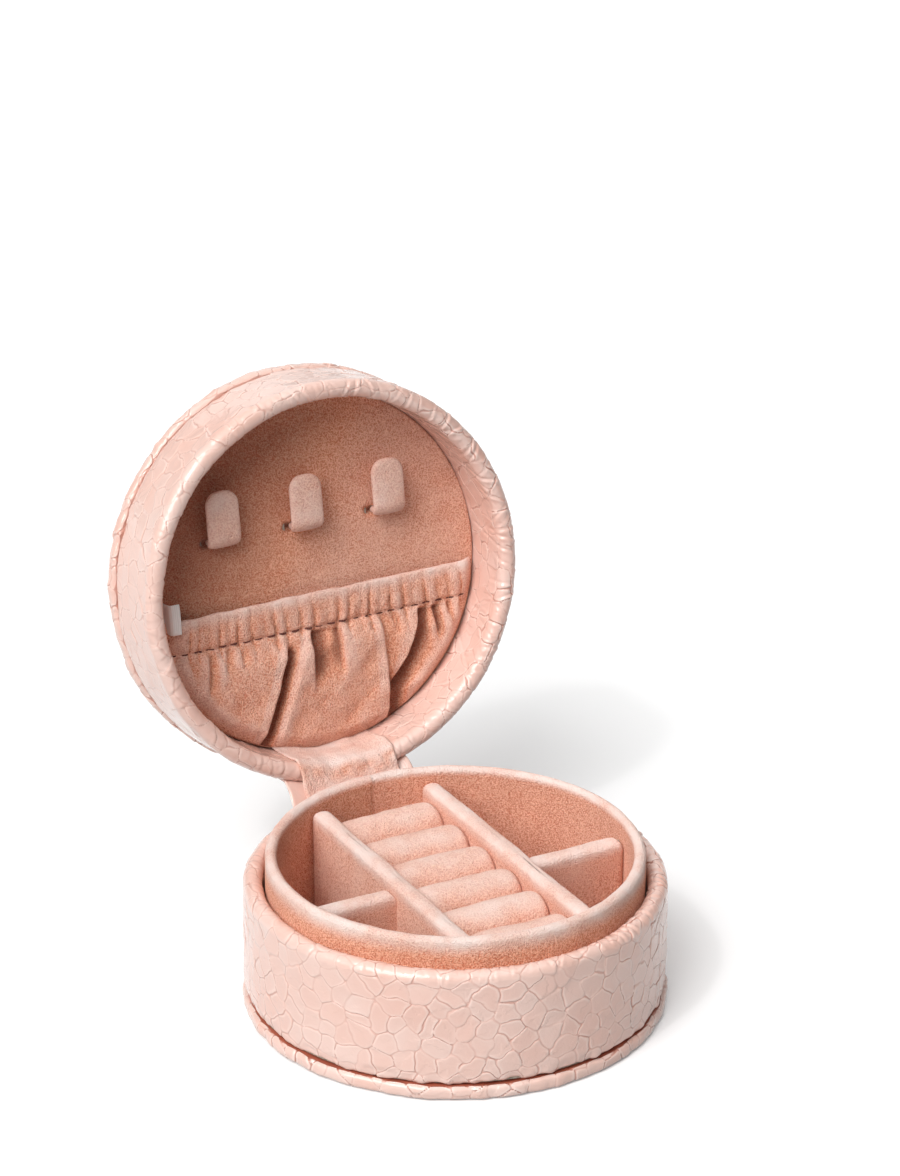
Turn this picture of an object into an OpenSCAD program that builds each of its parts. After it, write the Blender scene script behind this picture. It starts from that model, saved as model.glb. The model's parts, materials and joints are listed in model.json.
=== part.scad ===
// Round travel jewelry box, standing open: a wrapped board base with a velvet collar and insert,
// and a wrapped board lid on a cloth hinge. Origin: centre of the underside of the base. +Y: hinge side.

/* [Walls] */
// Outer radius of the base and lid walls
wall_r = 50; // [46:0.5:58]
// Thickness of the wall board
board_t = 3; // [2.4:0.1:3.6]
// Thickness of the leathercloth wrap
leather_t = 0.8; // [0.6:0.05:1]
// Thickness of the velvet
velvet_t = 0.6; // [0.4:0.05:0.8]
// Height of the base to the crest of its rim
base_h = 32.4; // [29:0.1:40]
// Depth of the lid from the crest of its rim to its top
lid_h = 24; // [22:0.1:30]
// Thickness of the wrapped base plate and lid plate
plate_t = 3.3; // [2.6:0.1:4.2]
// How far the plates stand out past the walls
plate_lip = 0.5; // [0.2:0.05:1]
// Corner radius of the wrapped plate edges
plate_edge_r = 1.1; // [0.6:0.05:1.25]
// Width of the leathercloth turned in on the plates
plate_turn_in = 8; // [6:0.5:9]
// Gap between the two rims when the lid is shut
rim_gap = 0.3; // [0.2:0.05:0.6]

/* [Collar] */
// How far the collar stands above the base rim
collar_up = 6.1; // [4:0.1:8]
// Thickness of the collar board
collar_board_t = 1.5; // [1.2:0.1:2]
// Gap between the collar and the wall lining
collar_gap = 0.7; // [0.65:0.05:1]
// How far the outer velvet and the wall lining reach down into the base
collar_skirt = 10; // [8:0.5:14]
// Thickness of the floor board
floor_board_t = 2; // [1.2:0.1:3]

/* [Dividers and rings] */
// Thickness of the board inside each divider
divider_board_t = 3.15; // [2:0.05:3.6]
// Clear width of the ring channel between the rails
channel_w = 26.2; // [22:0.2:30]
// Sideways place of the middle of the ring channel
channel_x = -1.6; // [-3:0.1:3]
// How far the rails lie below the top of the collar
rail_drop = 2.5; // [1:0.1:5]
// Radius of the upper corners at the ends of the dividers
divider_end_r = 3; // [1.5:0.1:4]
// How far the cross dividers lie below the top of the collar
cross_drop = 4.5; // [3:0.1:8]
// Place of the left cross divider along Y
cross_left_y = -4.5; // [-8:0.1:8]
// Place of the right cross divider along Y
cross_right_y = -6.6; // [-9:0.1:8]
// Distance from one ring roll to the next
roll_pitch = 12.9; // [11:0.1:12.9]
// Distance from the rear of the collar's inside to the middle of the rearmost ring roll
roll_back_gap = 11; // [10.9:0.1:12.5]
// How far the ring rolls lie below the top of the collar
roll_drop = 4.5; // [3:0.1:7]
// Slack between soft insert pieces
insert_gap = 0.1; // [0.05:0.01:0.2]

/* [Lid panel] */
// Depth of the velvet panel below the lid rim
panel_depth = 15.4; // [14:0.1:17]
// Thickness of the panel board
panel_board_t = 2; // [1.5:0.1:2.4]
// Gap round the velvet panel
panel_gap = 0.3; // [0.2:0.05:0.5]
// Width of a necklace hook
hook_w = 8.6; // [7.6:0.1:10]
// Height of a necklace hook's tab
hook_h = 14.7; // [12:0.1:17]
// Thickness of a necklace hook's tab
hook_t = 1.9; // [1.7:0.05:2.2]
// Distance from the panel to the front of the hooks
hook_out = 5.4; // [4.6:0.1:6.5]
// Distance from one hook to the next
hook_pitch = 22.4; // [19:0.1:24]
// Place of the lower edge of the hooks, towards the hinge
hook_low_y = -10.9; // [-12:0.1:-8]
// Radius of a hook's upper corners
hook_top_r = 3.6; // [2:0.1:3.8]
// Radius of a hook's lower corners
hook_low_r = 1.2; // [0.6:0.1:1.8]
// How much narrower a hook's foot is than its tab, on each side
hook_foot_in = 0.3; // [0:0.1:1]
// Play of a hook's foot in its slit
slit_play = 0.1; // [0.05:0.05:0.2]

/* [Lid pocket] */
// Place of the pocket's upper edge, towards the hinge
pocket_y = 4.5; // [2:0.1:8]
// Height of the gathered elastic header
header_h = 9.5; // [8:0.1:12]
// Thickness of the header
header_t = 2; // [1.8:0.1:2.4]
// Distance from the panel to the back of the header
pocket_mouth = 1; // [0.6:0.1:1.5]
// How far the pocket's front lies behind the face of its header
front_step = 0.5; // [0.2:0.1:1]
// Gap between the pocket and the lid's lining, less the tag
pocket_gap = 0.9; // [0.8:0.1:1.5]
// Width of the elastic
elastic_w = 6; // [4:0.1:6.5]
// Thickness of the elastic
elastic_t = 0.8; // [0.5:0.05:0.9]
// Play of the elastic in its channel
elastic_play = 0.1; // [0.05:0.05:0.3]
// Distance from one stitch to the next
stitch_pitch = 3.3; // [2.6:0.1:5]
// Length of one stitch
stitch_l = 2.2; // [1.4:0.1:2.4]
// Diameter of the thread
thread_d = 0.4; // [0.3:0.05:0.5]
// Width of the satin tag
tag_w = 7.6; // [5:0.1:9]
// Length of the satin tag
tag_l = 8; // [5:0.1:9]
// Thickness of the folded satin tag
tag_t = 0.4; // [0.3:0.05:0.6]
// Place of the middle of the satin tag along the lid
tag_y = 4.2; // [2:0.1:5]

/* [Hinge] */
// Angle that the lid stands open
open_angle = 98.9; // [90:0.1:108]
// Width of the outer leathercloth hinge strip
strip_w = 34; // [26:0.5:38]
// Height of the strip glued to each wall
strip_leaf_h = 13; // [8:0.5:15]
// Thickness of the hinge strip
strip_t = 0.8; // [0.6:0.05:1]
// Radius of the strip's glued corners
strip_corner_r = 4; // [2:0.5:6]
// Width of the inner velvet strap
strap_w = 26.2; // [20:0.2:30]
// Thickness of the inner velvet strap
strap_t = 0.45; // [0.4:0.01:0.5]
// Sideways place of the hinge strip and the strap
hinge_x = -1.6; // [-3:0.1:3]
// Distance from the hinge strip to the axis that it bends about
hinge_out = 0.6; // [0.3:0.1:1]
// Clearance between the cloths and what they lie against
strap_play = 0.05; // [0.02:0.01:0.1]
// How far the strap stands off the lid rim that it passes over
strap_lift = 0.3; // [0.1:0.05:0.5]

/* [Hidden] */
$fn = 96;
over = 1;
touch = 0.01;
side_names = ["left", "middle", "right"];

wall_t = board_t + 2 * leather_t;
wall_in_r = wall_r - wall_t;
rim_r = wall_t / 2;
rim_mid_r = wall_r - rim_r;
plate_r = wall_r + plate_lip;
plate_in_r = plate_r - plate_turn_in;

collar_t = collar_board_t + 2 * velvet_t;
collar_out_r = wall_in_r - collar_gap;
collar_in_r = collar_out_r - collar_t;
collar_top = base_h + collar_up;
skirt_z = base_h - collar_skirt;
floor_board_r = min(plate_in_r, collar_in_r + velvet_t) - insert_gap;
floor_z = plate_t - leather_t + floor_board_t;
floor_top = floor_z + velvet_t;

insert_r = collar_in_r - insert_gap;
divider_t = divider_board_t + 2 * velvet_t;
rail_top = collar_top - rail_drop;
cross_top = collar_top - cross_drop;
channel_left = channel_x - channel_w / 2;
channel_right = channel_x + channel_w / 2;
roll_r = roll_pitch / 2 - insert_gap / 2;
roll_z = collar_top - roll_drop - roll_r;
roll_back_y = insert_r - roll_back_gap;
roll_count = floor((roll_back_y + insert_r) / roll_pitch + 0.5);

lid_rim_z = base_h + rim_gap;
lid_top = lid_rim_z + lid_h;
panel_r = wall_in_r - panel_gap;
panel_face = lid_rim_z + panel_depth;
panel_back = panel_face + velvet_t + panel_board_t;
hook_low = panel_face - hook_out;
hook_foot_w = hook_w - 2 * hook_foot_in;
hook_skin = hook_t / 4;
pocket_r = wall_in_r - pocket_gap - tag_t;
header_low = panel_face - pocket_mouth - header_t;
header_y = pocket_y + header_h;
front_low = header_low + front_step;
tag_r = wall_in_r - pocket_gap / 6;
channel_z = header_low + (header_t - elastic_t) / 2;

hinge_y = wall_r + strip_t + hinge_out;
hinge_z = base_h + rim_gap / 2;
leaf_top = base_h - rim_r;
leaf_low = lid_rim_z + rim_r;
strap_r = wall_in_r - strap_play;
strap_base_r = collar_out_r + 2 * strap_play;
fold_columns = 12;
fold_rows = 8;
strip_pull = 0.38;
strap_turn = 110;
strap_pull_lid = 1.6;
strap_pull_base = [0.4, 2.2];

leather = [0.90, 0.74, 0.68];
velvet = [0.80, 0.55, 0.46];
pale_velvet = [0.90, 0.70, 0.62];
board = [0.62, 0.58, 0.52];
foam = [0.93, 0.90, 0.84];
satin = [0.96, 0.93, 0.90];
thread = [0.62, 0.36, 0.29];

// Half depth of a circle of radius r at the sideways place x.
function on_circle(r, x) = sqrt(r * r - x * x);

// A point [y, z] of the shut lid, carried to where it is with the lid open.
function opened(p) = [
    hinge_y + cos(open_angle) * (p[0] - hinge_y) + sin(open_angle) * (p[1] - hinge_z),
    hinge_z - sin(open_angle) * (p[0] - hinge_y) + cos(open_angle) * (p[1] - hinge_z)];

// A point on a cubic curve through a and d with handles b and c.
function cubic(a, b, c, d, t) =
    pow(1 - t, 3) * a + 3 * t * pow(1 - t, 2) * b + 3 * t * t * (1 - t) * c + pow(t, 3) * d;

// Carries the shut lid's pieces to the open lid.
module on_lid() {
    translate([0, hinge_y, hinge_z]) rotate([-open_angle, 0, 0]) translate([0, -hinge_y, -hinge_z])
        children();
}

// Turns a piece made with its plate side down, so that its plate side is the top of the lid.
module lid_side_up() {
    translate([0, 0, lid_top]) mirror([0, 0, 1]) children();
}

// A rectangle from [x0, z0] to [x1, z1] whose two corners at x1 are rounded.
module rounded_edge(x0, x1, z0, z1, r) {
    translate([x0, z0]) square([x1 - r - x0, z1 - z0]);
    translate([x0, z0 + r]) square([x1 - x0, z1 - z0 - 2 * r]);
    for (z = [z0 + r, z1 - r]) translate([x1 - r, z]) circle(r);
}

// A rectangle centred on X, w wide from y0 to y1, with its corners at y0 and y1 rounded.
module rounded_tab(w, y0, y1, r0, r1) {
    translate([-w / 2, y0 + r0]) square([w, y1 - y0 - r0 - r1]);
    translate([-w / 2 + r0, y0]) square([w - 2 * r0, r0 + touch]);
    translate([-w / 2 + r1, y1 - r1 - touch]) square([w - 2 * r1, r1 + touch]);
    for (side = [-1, 1]) {
        translate([side * (w / 2 - r0), y0 + r0]) circle(r0);
        translate([side * (w / 2 - r1), y1 - r1]) circle(r1);
    }
}

// A strip from x0 to x1 and from z0 up to z1, whose top is a half round.
module round_topped(x0, x1, z0, z1) {
    r = (x1 - x0) / 2;
    translate([x0, z0]) square([x1 - x0, z1 - z0 - r]);
    translate([x0 + r, z1 - r]) circle(r);
}

// ---- Wrapped plate: the bottom of the base and the top of the lid ----

module plate_board() {
    color(board) translate([0, 0, leather_t])
        cylinder(r = plate_r - leather_t, h = plate_t - 2 * leather_t);
}

module plate_cover() {
    color(leather) rotate_extrude() difference() {
        rounded_edge(0, plate_r, 0, plate_t, plate_edge_r);
        translate([-over, leather_t]) square([plate_r - leather_t + over, plate_t - 2 * leather_t]);
        translate([-over, leather_t]) square([plate_in_r + over, plate_t]);
    }
}

// ---- Wrapped wall: a board tube with leathercloth over its round rim, h high from the plate ----

module wall_board_section(h) {
    round_topped(wall_in_r + leather_t, wall_r - leather_t, leather_t, h - leather_t);
}

module wall_board(h) {
    color(board) rotate_extrude() wall_board_section(h);
}

module wall_cover(h, turn_in) {
    foot_r = leather_t;
    color(leather) rotate_extrude() difference() {
        union() {
            translate([wall_in_r, foot_r]) square([wall_t, h - rim_r - foot_r]);
            translate([wall_in_r, 0]) square([wall_t - foot_r, foot_r]);
            translate([wall_r - foot_r, foot_r]) circle(foot_r);
            translate([rim_mid_r, h - rim_r]) circle(rim_r);
        }
        wall_board_section(h);
        translate([wall_in_r - over, -over]) square([leather_t + over, h - turn_in + over]);
    }
}

module base_wall_board() {
    translate([0, 0, plate_t]) wall_board(base_h - plate_t);
}

module base_wall_cover() {
    translate([0, 0, plate_t]) wall_cover(base_h - plate_t, collar_skirt);
}

// ---- Inside of the base: floor and collar ----

module base_floor_board() {
    color(board) translate([0, 0, plate_t - leather_t]) cylinder(r = floor_board_r, h = floor_board_t);
}

module base_floor_lining() {
    color(velvet) translate([0, 0, floor_z]) cylinder(r = insert_r, h = velvet_t);
}

module collar_board_section() {
    round_topped(collar_in_r + velvet_t, collar_out_r - velvet_t, plate_t, collar_top - velvet_t);
}

module collar_board() {
    color(board) rotate_extrude() collar_board_section();
}

module collar_velvet() {
    color(velvet) rotate_extrude() difference() {
        round_topped(collar_in_r, collar_out_r, floor_z, collar_top);
        collar_board_section();
        translate([collar_in_r + velvet_t, 0]) square([collar_t, skirt_z]);
    }
}

// Card ring that glues the foot of the collar to the wall board.
module collar_packing_ring() {
    color(board) translate([0, 0, plate_t]) rotate_extrude()
        translate([collar_out_r - velvet_t, leather_t])
            square([wall_in_r + leather_t - collar_out_r + velvet_t, skirt_z - plate_t - leather_t]);
}

// ---- Dividers ----

// A standing board along Y, t thick about x, reaching out to radius r and up to z1.
module standing_board(x, t, r, z0, z1) {
    intersection() {
        translate([x, r + over, 0]) rotate([90, 0, 0]) linear_extrude(2 * (r + over))
            round_topped(-t / 2, t / 2, z0, z1);
        translate([x - t, 0, 0]) rotate([90, 0, 90]) linear_extrude(2 * t)
            rounded_tab_up(2 * on_circle(r, x), z0, z1);
        translate([0, 0, z0 - over]) cylinder(r = r, h = z1 - z0 + 2 * over);
    }
}

// An upright rectangle, w wide from z0 to z1, whose two upper corners are rounded.
module rounded_tab_up(w, z0, z1) {
    r = divider_end_r;
    translate([-w / 2, z0]) square([w, z1 - z0 - r]);
    translate([-w / 2 + r, z0]) square([w - 2 * r, z1 - z0]);
    for (side = [-1, 1]) translate([side * (w / 2 - r), z1 - r]) circle(r);
}

module rail_board(x) {
    color(board)
        standing_board(x, divider_board_t, insert_r - velvet_t, floor_top, rail_top - velvet_t);
}

module rail_cover(x) {
    color(pale_velvet) difference() {
        standing_board(x, divider_t, insert_r, floor_top, rail_top);
        standing_board(x, divider_board_t, insert_r - velvet_t, floor_top - over, rail_top - velvet_t);
    }
}

// A cross divider at y from the rail face at x0 out to radius r on the side given by sign.
module cross_solid(sign, x0, y, t, r, z0, z1) {
    intersection() {
        translate([sign * x0, y, 0]) rotate([90, 0, 90 * sign]) linear_extrude(r + over - x0)
            round_topped(-t / 2, t / 2, z0, z1);
        translate([0, 0, z0 - over]) cylinder(r = r, h = z1 - z0 + 2 * over);
    }
}

module cross_board(sign, x0, y) {
    color(board) cross_solid(sign, x0 + velvet_t, y, divider_board_t, insert_r - velvet_t,
                             floor_top, cross_top - velvet_t);
}

module cross_cover(sign, x0, y) {
    color(pale_velvet) difference() {
        cross_solid(sign, x0, y, divider_t, insert_r, floor_top, cross_top);
        cross_solid(sign, x0 + velvet_t, y, divider_board_t, insert_r - velvet_t,
                    floor_top - over, cross_top - velvet_t);
    }
}

rail_left_x = channel_left - divider_t / 2;
rail_right_x = channel_right + divider_t / 2;
cross_left_x0 = -(rail_left_x - divider_t / 2) + insert_gap;
cross_right_x0 = rail_right_x + divider_t / 2 + insert_gap;

// ---- Ring rolls ----

module ring_bed_foam() {
    color(foam) intersection() {
        translate([channel_left + insert_gap, -insert_r, floor_top])
            cube([channel_w - 2 * insert_gap, 2 * insert_r, roll_z - roll_r - floor_top]);
        translate([0, 0, floor_top]) cylinder(r = insert_r, h = roll_z);
    }
}

// A roll across the channel, shorter and thinner all round by inset, and clear of the collar.
module roll_solid(i, inset) {
    intersection() {
        translate([channel_left + insert_gap + inset, roll_back_y - (i - 1) * roll_pitch, roll_z])
            rotate([0, 90, 0]) cylinder(r = roll_r - inset, h = channel_w - 2 * insert_gap - 2 * inset);
        translate([0, 0, floor_top]) cylinder(r = insert_r - inset, h = collar_top);
    }
}

module ring_roll_core(i) {
    color(foam) roll_solid(i, velvet_t);
}

module ring_roll_cover(i) {
    color(pale_velvet) difference() {
        roll_solid(i, 0);
        roll_solid(i, velvet_t);
    }
}

// ---- Lid ----

module lid_wall_board() {
    lid_side_up() translate([0, 0, plate_t]) wall_board(lid_h - plate_t);
}

module lid_wall_cover() {
    lid_side_up() translate([0, 0, plate_t])
        wall_cover(lid_h - plate_t, panel_depth + velvet_t + panel_board_t);
}

module panel_foam() {
    color(foam) translate([0, 0, panel_back]) cylinder(r = panel_r, h = lid_top - plate_t - panel_back);
}

// The slits in the panel for the feet of the hooks, from z0 for a height of h.
module hook_slits(z0, h) {
    for (k = [-1:1])
        translate([channel_x + k * hook_pitch, hook_low_y - hook_t / 2, z0 + h / 2])
            cube([hook_foot_w + 2 * slit_play, hook_t + 2 * slit_play, h], center = true);
}

module panel_board() {
    color(board) difference() {
        translate([0, 0, panel_face + velvet_t]) cylinder(r = panel_r - velvet_t, h = panel_board_t);
        hook_slits(panel_face, panel_board_t + 2 * velvet_t);
    }
}

module panel_velvet() {
    color(velvet) difference() {
        translate([0, 0, panel_face]) cylinder(r = panel_r, h = velvet_t + panel_board_t);
        translate([0, 0, panel_face + velvet_t]) cylinder(r = panel_r - velvet_t, h = panel_board_t + over);
        hook_slits(panel_face - over, velvet_t + 2 * over);
    }
}

// A J-shaped hook at x: a tab that faces out of the lid, on a foot through the panel.
module hook_solid(x, inset) {
    translate([x, 0, hook_low + inset]) linear_extrude(hook_t - 2 * inset)
        rounded_tab(hook_w - 2 * inset, hook_low_y - hook_h + inset, hook_low_y - inset,
                    hook_top_r - inset, hook_low_r - inset);
    translate([x - hook_foot_w / 2 + inset, hook_low_y - hook_t + inset, hook_low + inset])
        cube([hook_foot_w - 2 * inset, hook_t - 2 * inset, panel_back - hook_low - inset]);
}

module hook_core(k) {
    color(board) hook_solid(channel_x + k * hook_pitch, hook_skin);
}

module hook_cover(k) {
    color(pale_velvet) difference() {
        hook_solid(channel_x + k * hook_pitch, 0);
        hook_solid(channel_x + k * hook_pitch, hook_skin);
    }
}

// ---- Gathered pocket ----

// The part of the lid's inside within radius r, from y0 towards the hinge.
module pocket_region(r, y0, z0, h) {
    intersection() {
        translate([0, 0, z0]) cylinder(r = r, h = h);
        translate([-r - over, y0, z0 - over]) cube([2 * (r + over), r + over, h + 2 * over]);
    }
}

module pocket_front() {
    color(velvet) difference() {
        pocket_region(pocket_r, header_y, front_low, panel_face - front_low);
        pocket_region(pocket_r - velvet_t, header_y - over, front_low + velvet_t, panel_face - front_low);
    }
}

// A gathered band across the lid, with legs to the panel at its two ends.
module pocket_header() {
    color(velvet) difference() {
        pocket_region(pocket_r, pocket_y, header_low, panel_face - header_low);
        pocket_region(wall_r, header_y, header_low - over, panel_face);
        pocket_region(pocket_r - velvet_t, pocket_y - over, header_low + header_t, header_t + pocket_mouth);
        elastic_strip(elastic_play, wall_r);
    }
}

// The elastic strip in the header, larger all round by play and half_l long to each side.
module elastic_strip(play, half_l) {
    translate([-half_l, pocket_y + (header_h - elastic_w) / 2 - play, channel_z - play])
        cube([2 * half_l, elastic_w + 2 * play, elastic_t + 2 * play]);
}

module pocket_elastic() {
    color(satin) elastic_strip(0, on_circle(pocket_r, header_y));
}

module pocket_stitching() {
    half = on_circle(pocket_r, header_y) - stitch_l;
    count = floor(half / stitch_pitch);
    color(thread) for (k = [-count:count])
        translate([k * stitch_pitch - stitch_l / 2, header_y - thread_d, header_low - thread_d / 2])
            rotate([0, 90, 0]) cylinder(d = thread_d, h = stitch_l);
}

// A folded ribbon on the lid's inner wall, turned in over the end of the pocket.
module satin_tag() {
    leg_x = -on_circle(tag_r, tag_y + tag_w / 2);
    color(satin) {
        translate([leg_x, tag_y - tag_w / 2, header_low - 2 * tag_t])
            cube([tag_t, tag_w, panel_face - header_low + 2 * tag_t]);
        translate([leg_x, tag_y - tag_w / 2, header_low - 2 * tag_t]) cube([tag_l, tag_w, tag_t]);
    }
}

// ---- Cloth hinge: an outer leathercloth strip and an inner velvet strap ----

// A leaf of cloth on a cylinder from radius r0 to r1, w wide, seen from behind as a rectangle from
// z0 to z1 with rounded corners at z0.
module leaf(r0, r1, w, z0, z1, corner_r) {
    intersection() {
        translate([0, 0, z0]) difference() {
            cylinder(r = r1, h = z1 - z0);
            translate([0, 0, -over]) cylinder(r = r0, h = z1 - z0 + 2 * over);
        }
        translate([hinge_x, r1, 0]) rotate([90, 0, 0]) linear_extrude(r1)
            union() {
                translate([-w / 2, z0 + corner_r]) square([w, z1 - z0 - corner_r]);
                translate([-w / 2 + corner_r, z0]) square([w - 2 * corner_r, z1 - z0]);
                for (side = [-1, 1]) translate([side * (w / 2 - corner_r), z0 + corner_r]) circle(corner_r);
            }
    }
}

module hinge_strip_base() {
    color(leather) leaf(wall_r, wall_r + strip_t, strip_w, leaf_top - strip_leaf_h, leaf_top, strip_corner_r);
}

module hinge_strip_lid() {
    color(leather) lid_side_up()
        leaf(wall_r, wall_r + strip_t, strip_w, lid_top - leaf_low - strip_leaf_h, lid_top - leaf_low,
             strip_corner_r);
}

module hinge_strap_base() {
    color(velvet) leaf(strap_base_r, strap_base_r + strap_t, strap_w,
                       skirt_z + insert_gap, base_h - insert_gap, insert_gap);
}

module hinge_strap_lid() {
    color(velvet) lid_side_up()
        leaf(strap_r - strap_t, strap_r, strap_w, lid_top - panel_face + insert_gap, lid_top - leaf_low,
             insert_gap);
}

// A curved sheet given as rows of points for its two faces, one row for each place across.
module sheet(face_a, face_b) {
    n = len(face_a);
    m = len(face_a[0]);
    points = concat([for (row = face_a) for (p = row) p], [for (row = face_b) for (p = row) p]);
    b = n * m;
    polyhedron(points, convexity = 6, faces = concat(
        [for (i = [0:n - 2]) for (j = [0:m - 2]) [i * m + j, (i + 1) * m + j, i * m + j + 1]],
        [for (i = [0:n - 2]) for (j = [0:m - 2]) [(i + 1) * m + j, (i + 1) * m + j + 1, i * m + j + 1]],
        [for (i = [0:n - 2]) for (j = [0:m - 2]) [b + i * m + j, b + i * m + j + 1, b + (i + 1) * m + j]],
        [for (i = [0:n - 2]) for (j = [0:m - 2])
            [b + (i + 1) * m + j, b + i * m + j + 1, b + (i + 1) * m + j + 1]],
        [for (j = [0:m - 2]) [j, j + 1, b + j + 1, b + j]],
        [for (j = [0:m - 2]) let (k = (n - 1) * m + j) [k, b + k, b + k + 1, k + 1]],
        [for (i = [0:n - 2]) [i * m, b + i * m, b + (i + 1) * m, (i + 1) * m]],
        [for (i = [0:n - 2]) [(i + 1) * m - 1, (i + 2) * m - 1, b + (i + 2) * m - 1, b + (i + 1) * m - 1]]));
}

// The places across a strip w wide.
function across(w) = [for (i = [0:fold_columns]) -w / 2 + w * i / fold_columns + hinge_x];

// The bend of the outer strip at x, on the face at radius r: up from the base leaf, back to the lid leaf.
function strip_bend(x, r) =
    let (a = [on_circle(r, x), leaf_top],
         d = opened([on_circle(r, x), leaf_low - strap_play]),
         reach = strip_pull * norm(d - a),
         b = a + reach * [0, 1],
         c = d - reach * [sin(open_angle), cos(open_angle)])
    [for (j = [0:fold_rows]) let (p = cubic(a, b, c, d, j / fold_rows)) [x, p[0], p[1]]];

module hinge_strip_fold() {
    r = wall_r + strap_play;
    color(leather) sheet([for (x = across(strip_w)) strip_bend(x, r)],
                         [for (x = across(strip_w)) strip_bend(x, r + strip_t)]);
}

// The inner strap at x, lift above the lid rim: over the round rim, then down into the collar gap.
function strap_bend(x, lift, end_r) =
    let (middle = opened([on_circle(rim_mid_r, x), leaf_low - strap_play]),
         r = rim_r + lift,
         start = 180 - open_angle,
         last = start + strap_turn,
         wrap = [for (j = [0:fold_rows])
             let (a = start + strap_turn * j / fold_rows) middle + r * [cos(a), sin(a)]],
         a = wrap[fold_rows],
         d = [on_circle(end_r, x), base_h - insert_gap],
         b = a + strap_pull_lid * [-sin(last), cos(last)],
         c = d + strap_pull_base)
    [for (p = concat(wrap, [for (j = [1:fold_rows]) cubic(a, b, c, d, j / fold_rows)])) [x, p[0], p[1]]];

module hinge_strap_span() {
    color(velvet) sheet(
        [for (x = across(strap_w)) strap_bend(x, strap_lift + strap_t, strap_base_r)],
        [for (x = across(strap_w)) strap_bend(x, strap_lift, strap_base_r + strap_t)]);
}

// ---- The nodes ----

plate_board();  // base_plate_board
plate_cover();  // base_plate_cover
base_wall_board();
base_wall_cover();
base_floor_board();
base_floor_lining();
collar_board();
collar_velvet();
collar_packing_ring();
rail_board(rail_left_x);  // rail_left_board
rail_cover(rail_left_x);  // rail_left_cover
rail_board(rail_right_x);  // rail_right_board
rail_cover(rail_right_x);  // rail_right_cover
cross_board(-1, cross_left_x0, cross_left_y);  // cross_left_board
cross_cover(-1, cross_left_x0, cross_left_y);  // cross_left_cover
cross_board(1, cross_right_x0, cross_right_y);  // cross_right_board
cross_cover(1, cross_right_x0, cross_right_y);  // cross_right_cover
ring_bed_foam();
for (i = [1:roll_count]) {
    ring_roll_core(i);
    ring_roll_cover(i);
}
on_lid() lid_side_up() plate_board();  // lid_plate_board
on_lid() lid_side_up() plate_cover();  // lid_plate_cover
on_lid() lid_wall_board();
on_lid() lid_wall_cover();
on_lid() panel_foam();
on_lid() panel_board();
on_lid() panel_velvet();
for (k = [0:2]) {
    on_lid() hook_core(k - 1);
    on_lid() hook_cover(k - 1);
}
on_lid() pocket_front();
on_lid() pocket_header();
on_lid() pocket_elastic();
on_lid() pocket_stitching();
on_lid() satin_tag();
hinge_strip_base();
hinge_strip_fold();
on_lid() hinge_strip_lid();
hinge_strap_base();
hinge_strap_span();
on_lid() hinge_strap_lid();
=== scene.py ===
"""Round travel jewelry box, standing open: leathercloth shell, velvet insert, gathered lid pocket.

Shapes are worked out in millimetres and turned into metres when a mesh is made. The lid's pieces are
shaped as on the shut box, where its axis is +Z, and are then carried to where the open lid stands.
"""
import json
import math

import bpy
import numpy as np
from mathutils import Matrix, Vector

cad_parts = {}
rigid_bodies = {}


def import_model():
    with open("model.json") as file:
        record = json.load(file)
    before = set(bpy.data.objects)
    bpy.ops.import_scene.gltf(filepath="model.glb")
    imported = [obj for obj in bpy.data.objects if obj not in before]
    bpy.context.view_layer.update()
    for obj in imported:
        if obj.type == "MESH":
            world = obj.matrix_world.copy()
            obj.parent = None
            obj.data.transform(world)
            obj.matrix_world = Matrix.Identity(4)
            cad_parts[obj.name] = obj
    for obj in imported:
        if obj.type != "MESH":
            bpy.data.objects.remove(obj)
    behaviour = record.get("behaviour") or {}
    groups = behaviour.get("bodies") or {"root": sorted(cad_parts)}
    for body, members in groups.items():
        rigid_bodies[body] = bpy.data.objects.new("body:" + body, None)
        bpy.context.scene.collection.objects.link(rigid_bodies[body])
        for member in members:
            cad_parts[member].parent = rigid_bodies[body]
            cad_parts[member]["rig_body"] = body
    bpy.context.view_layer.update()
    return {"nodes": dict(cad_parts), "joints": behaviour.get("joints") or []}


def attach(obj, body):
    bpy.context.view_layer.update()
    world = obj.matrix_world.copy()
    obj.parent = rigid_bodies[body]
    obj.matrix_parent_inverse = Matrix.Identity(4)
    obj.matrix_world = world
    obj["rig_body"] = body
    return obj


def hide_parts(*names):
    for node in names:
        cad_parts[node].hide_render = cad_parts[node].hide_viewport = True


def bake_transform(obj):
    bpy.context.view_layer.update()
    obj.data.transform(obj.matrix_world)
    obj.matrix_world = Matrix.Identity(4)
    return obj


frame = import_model()

MM = 0.001
TAU = 2 * math.pi


# ---- Sizes, read from the frame, in millimetres ----

hinge = frame["joints"][0]
HINGE = np.array(hinge["pos_m"]) / MM
OPEN = math.radians(max(hinge["range_deg"]))
COS, SIN = math.cos(OPEN), math.sin(OPEN)


def swung(p, sin):
    """Points turned about the hinge's axis, to or from the open lid."""
    p = np.asarray(p, float)
    y, z = p[..., 1] - HINGE[1], p[..., 2] - HINGE[2]
    return np.stack([p[..., 0], HINGE[1] + COS * y + sin * z, HINGE[2] - sin * y + COS * z], -1)


def to_open(p):
    """Points of the shut lid, carried to the open lid."""
    return swung(p, SIN)


def to_shut(p):
    """Points of the open lid, carried to the shut lid."""
    return swung(p, -SIN)


def corners(node):
    """Lowest and highest corner of a CAD node; a lid node's are those on the shut lid."""
    points = np.array([v.co for v in frame["nodes"][node].data.vertices]) / MM
    if frame["nodes"][node]["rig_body"] == "lid":
        points = to_shut(points)
    return points.min(0), points.max(0)


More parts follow.
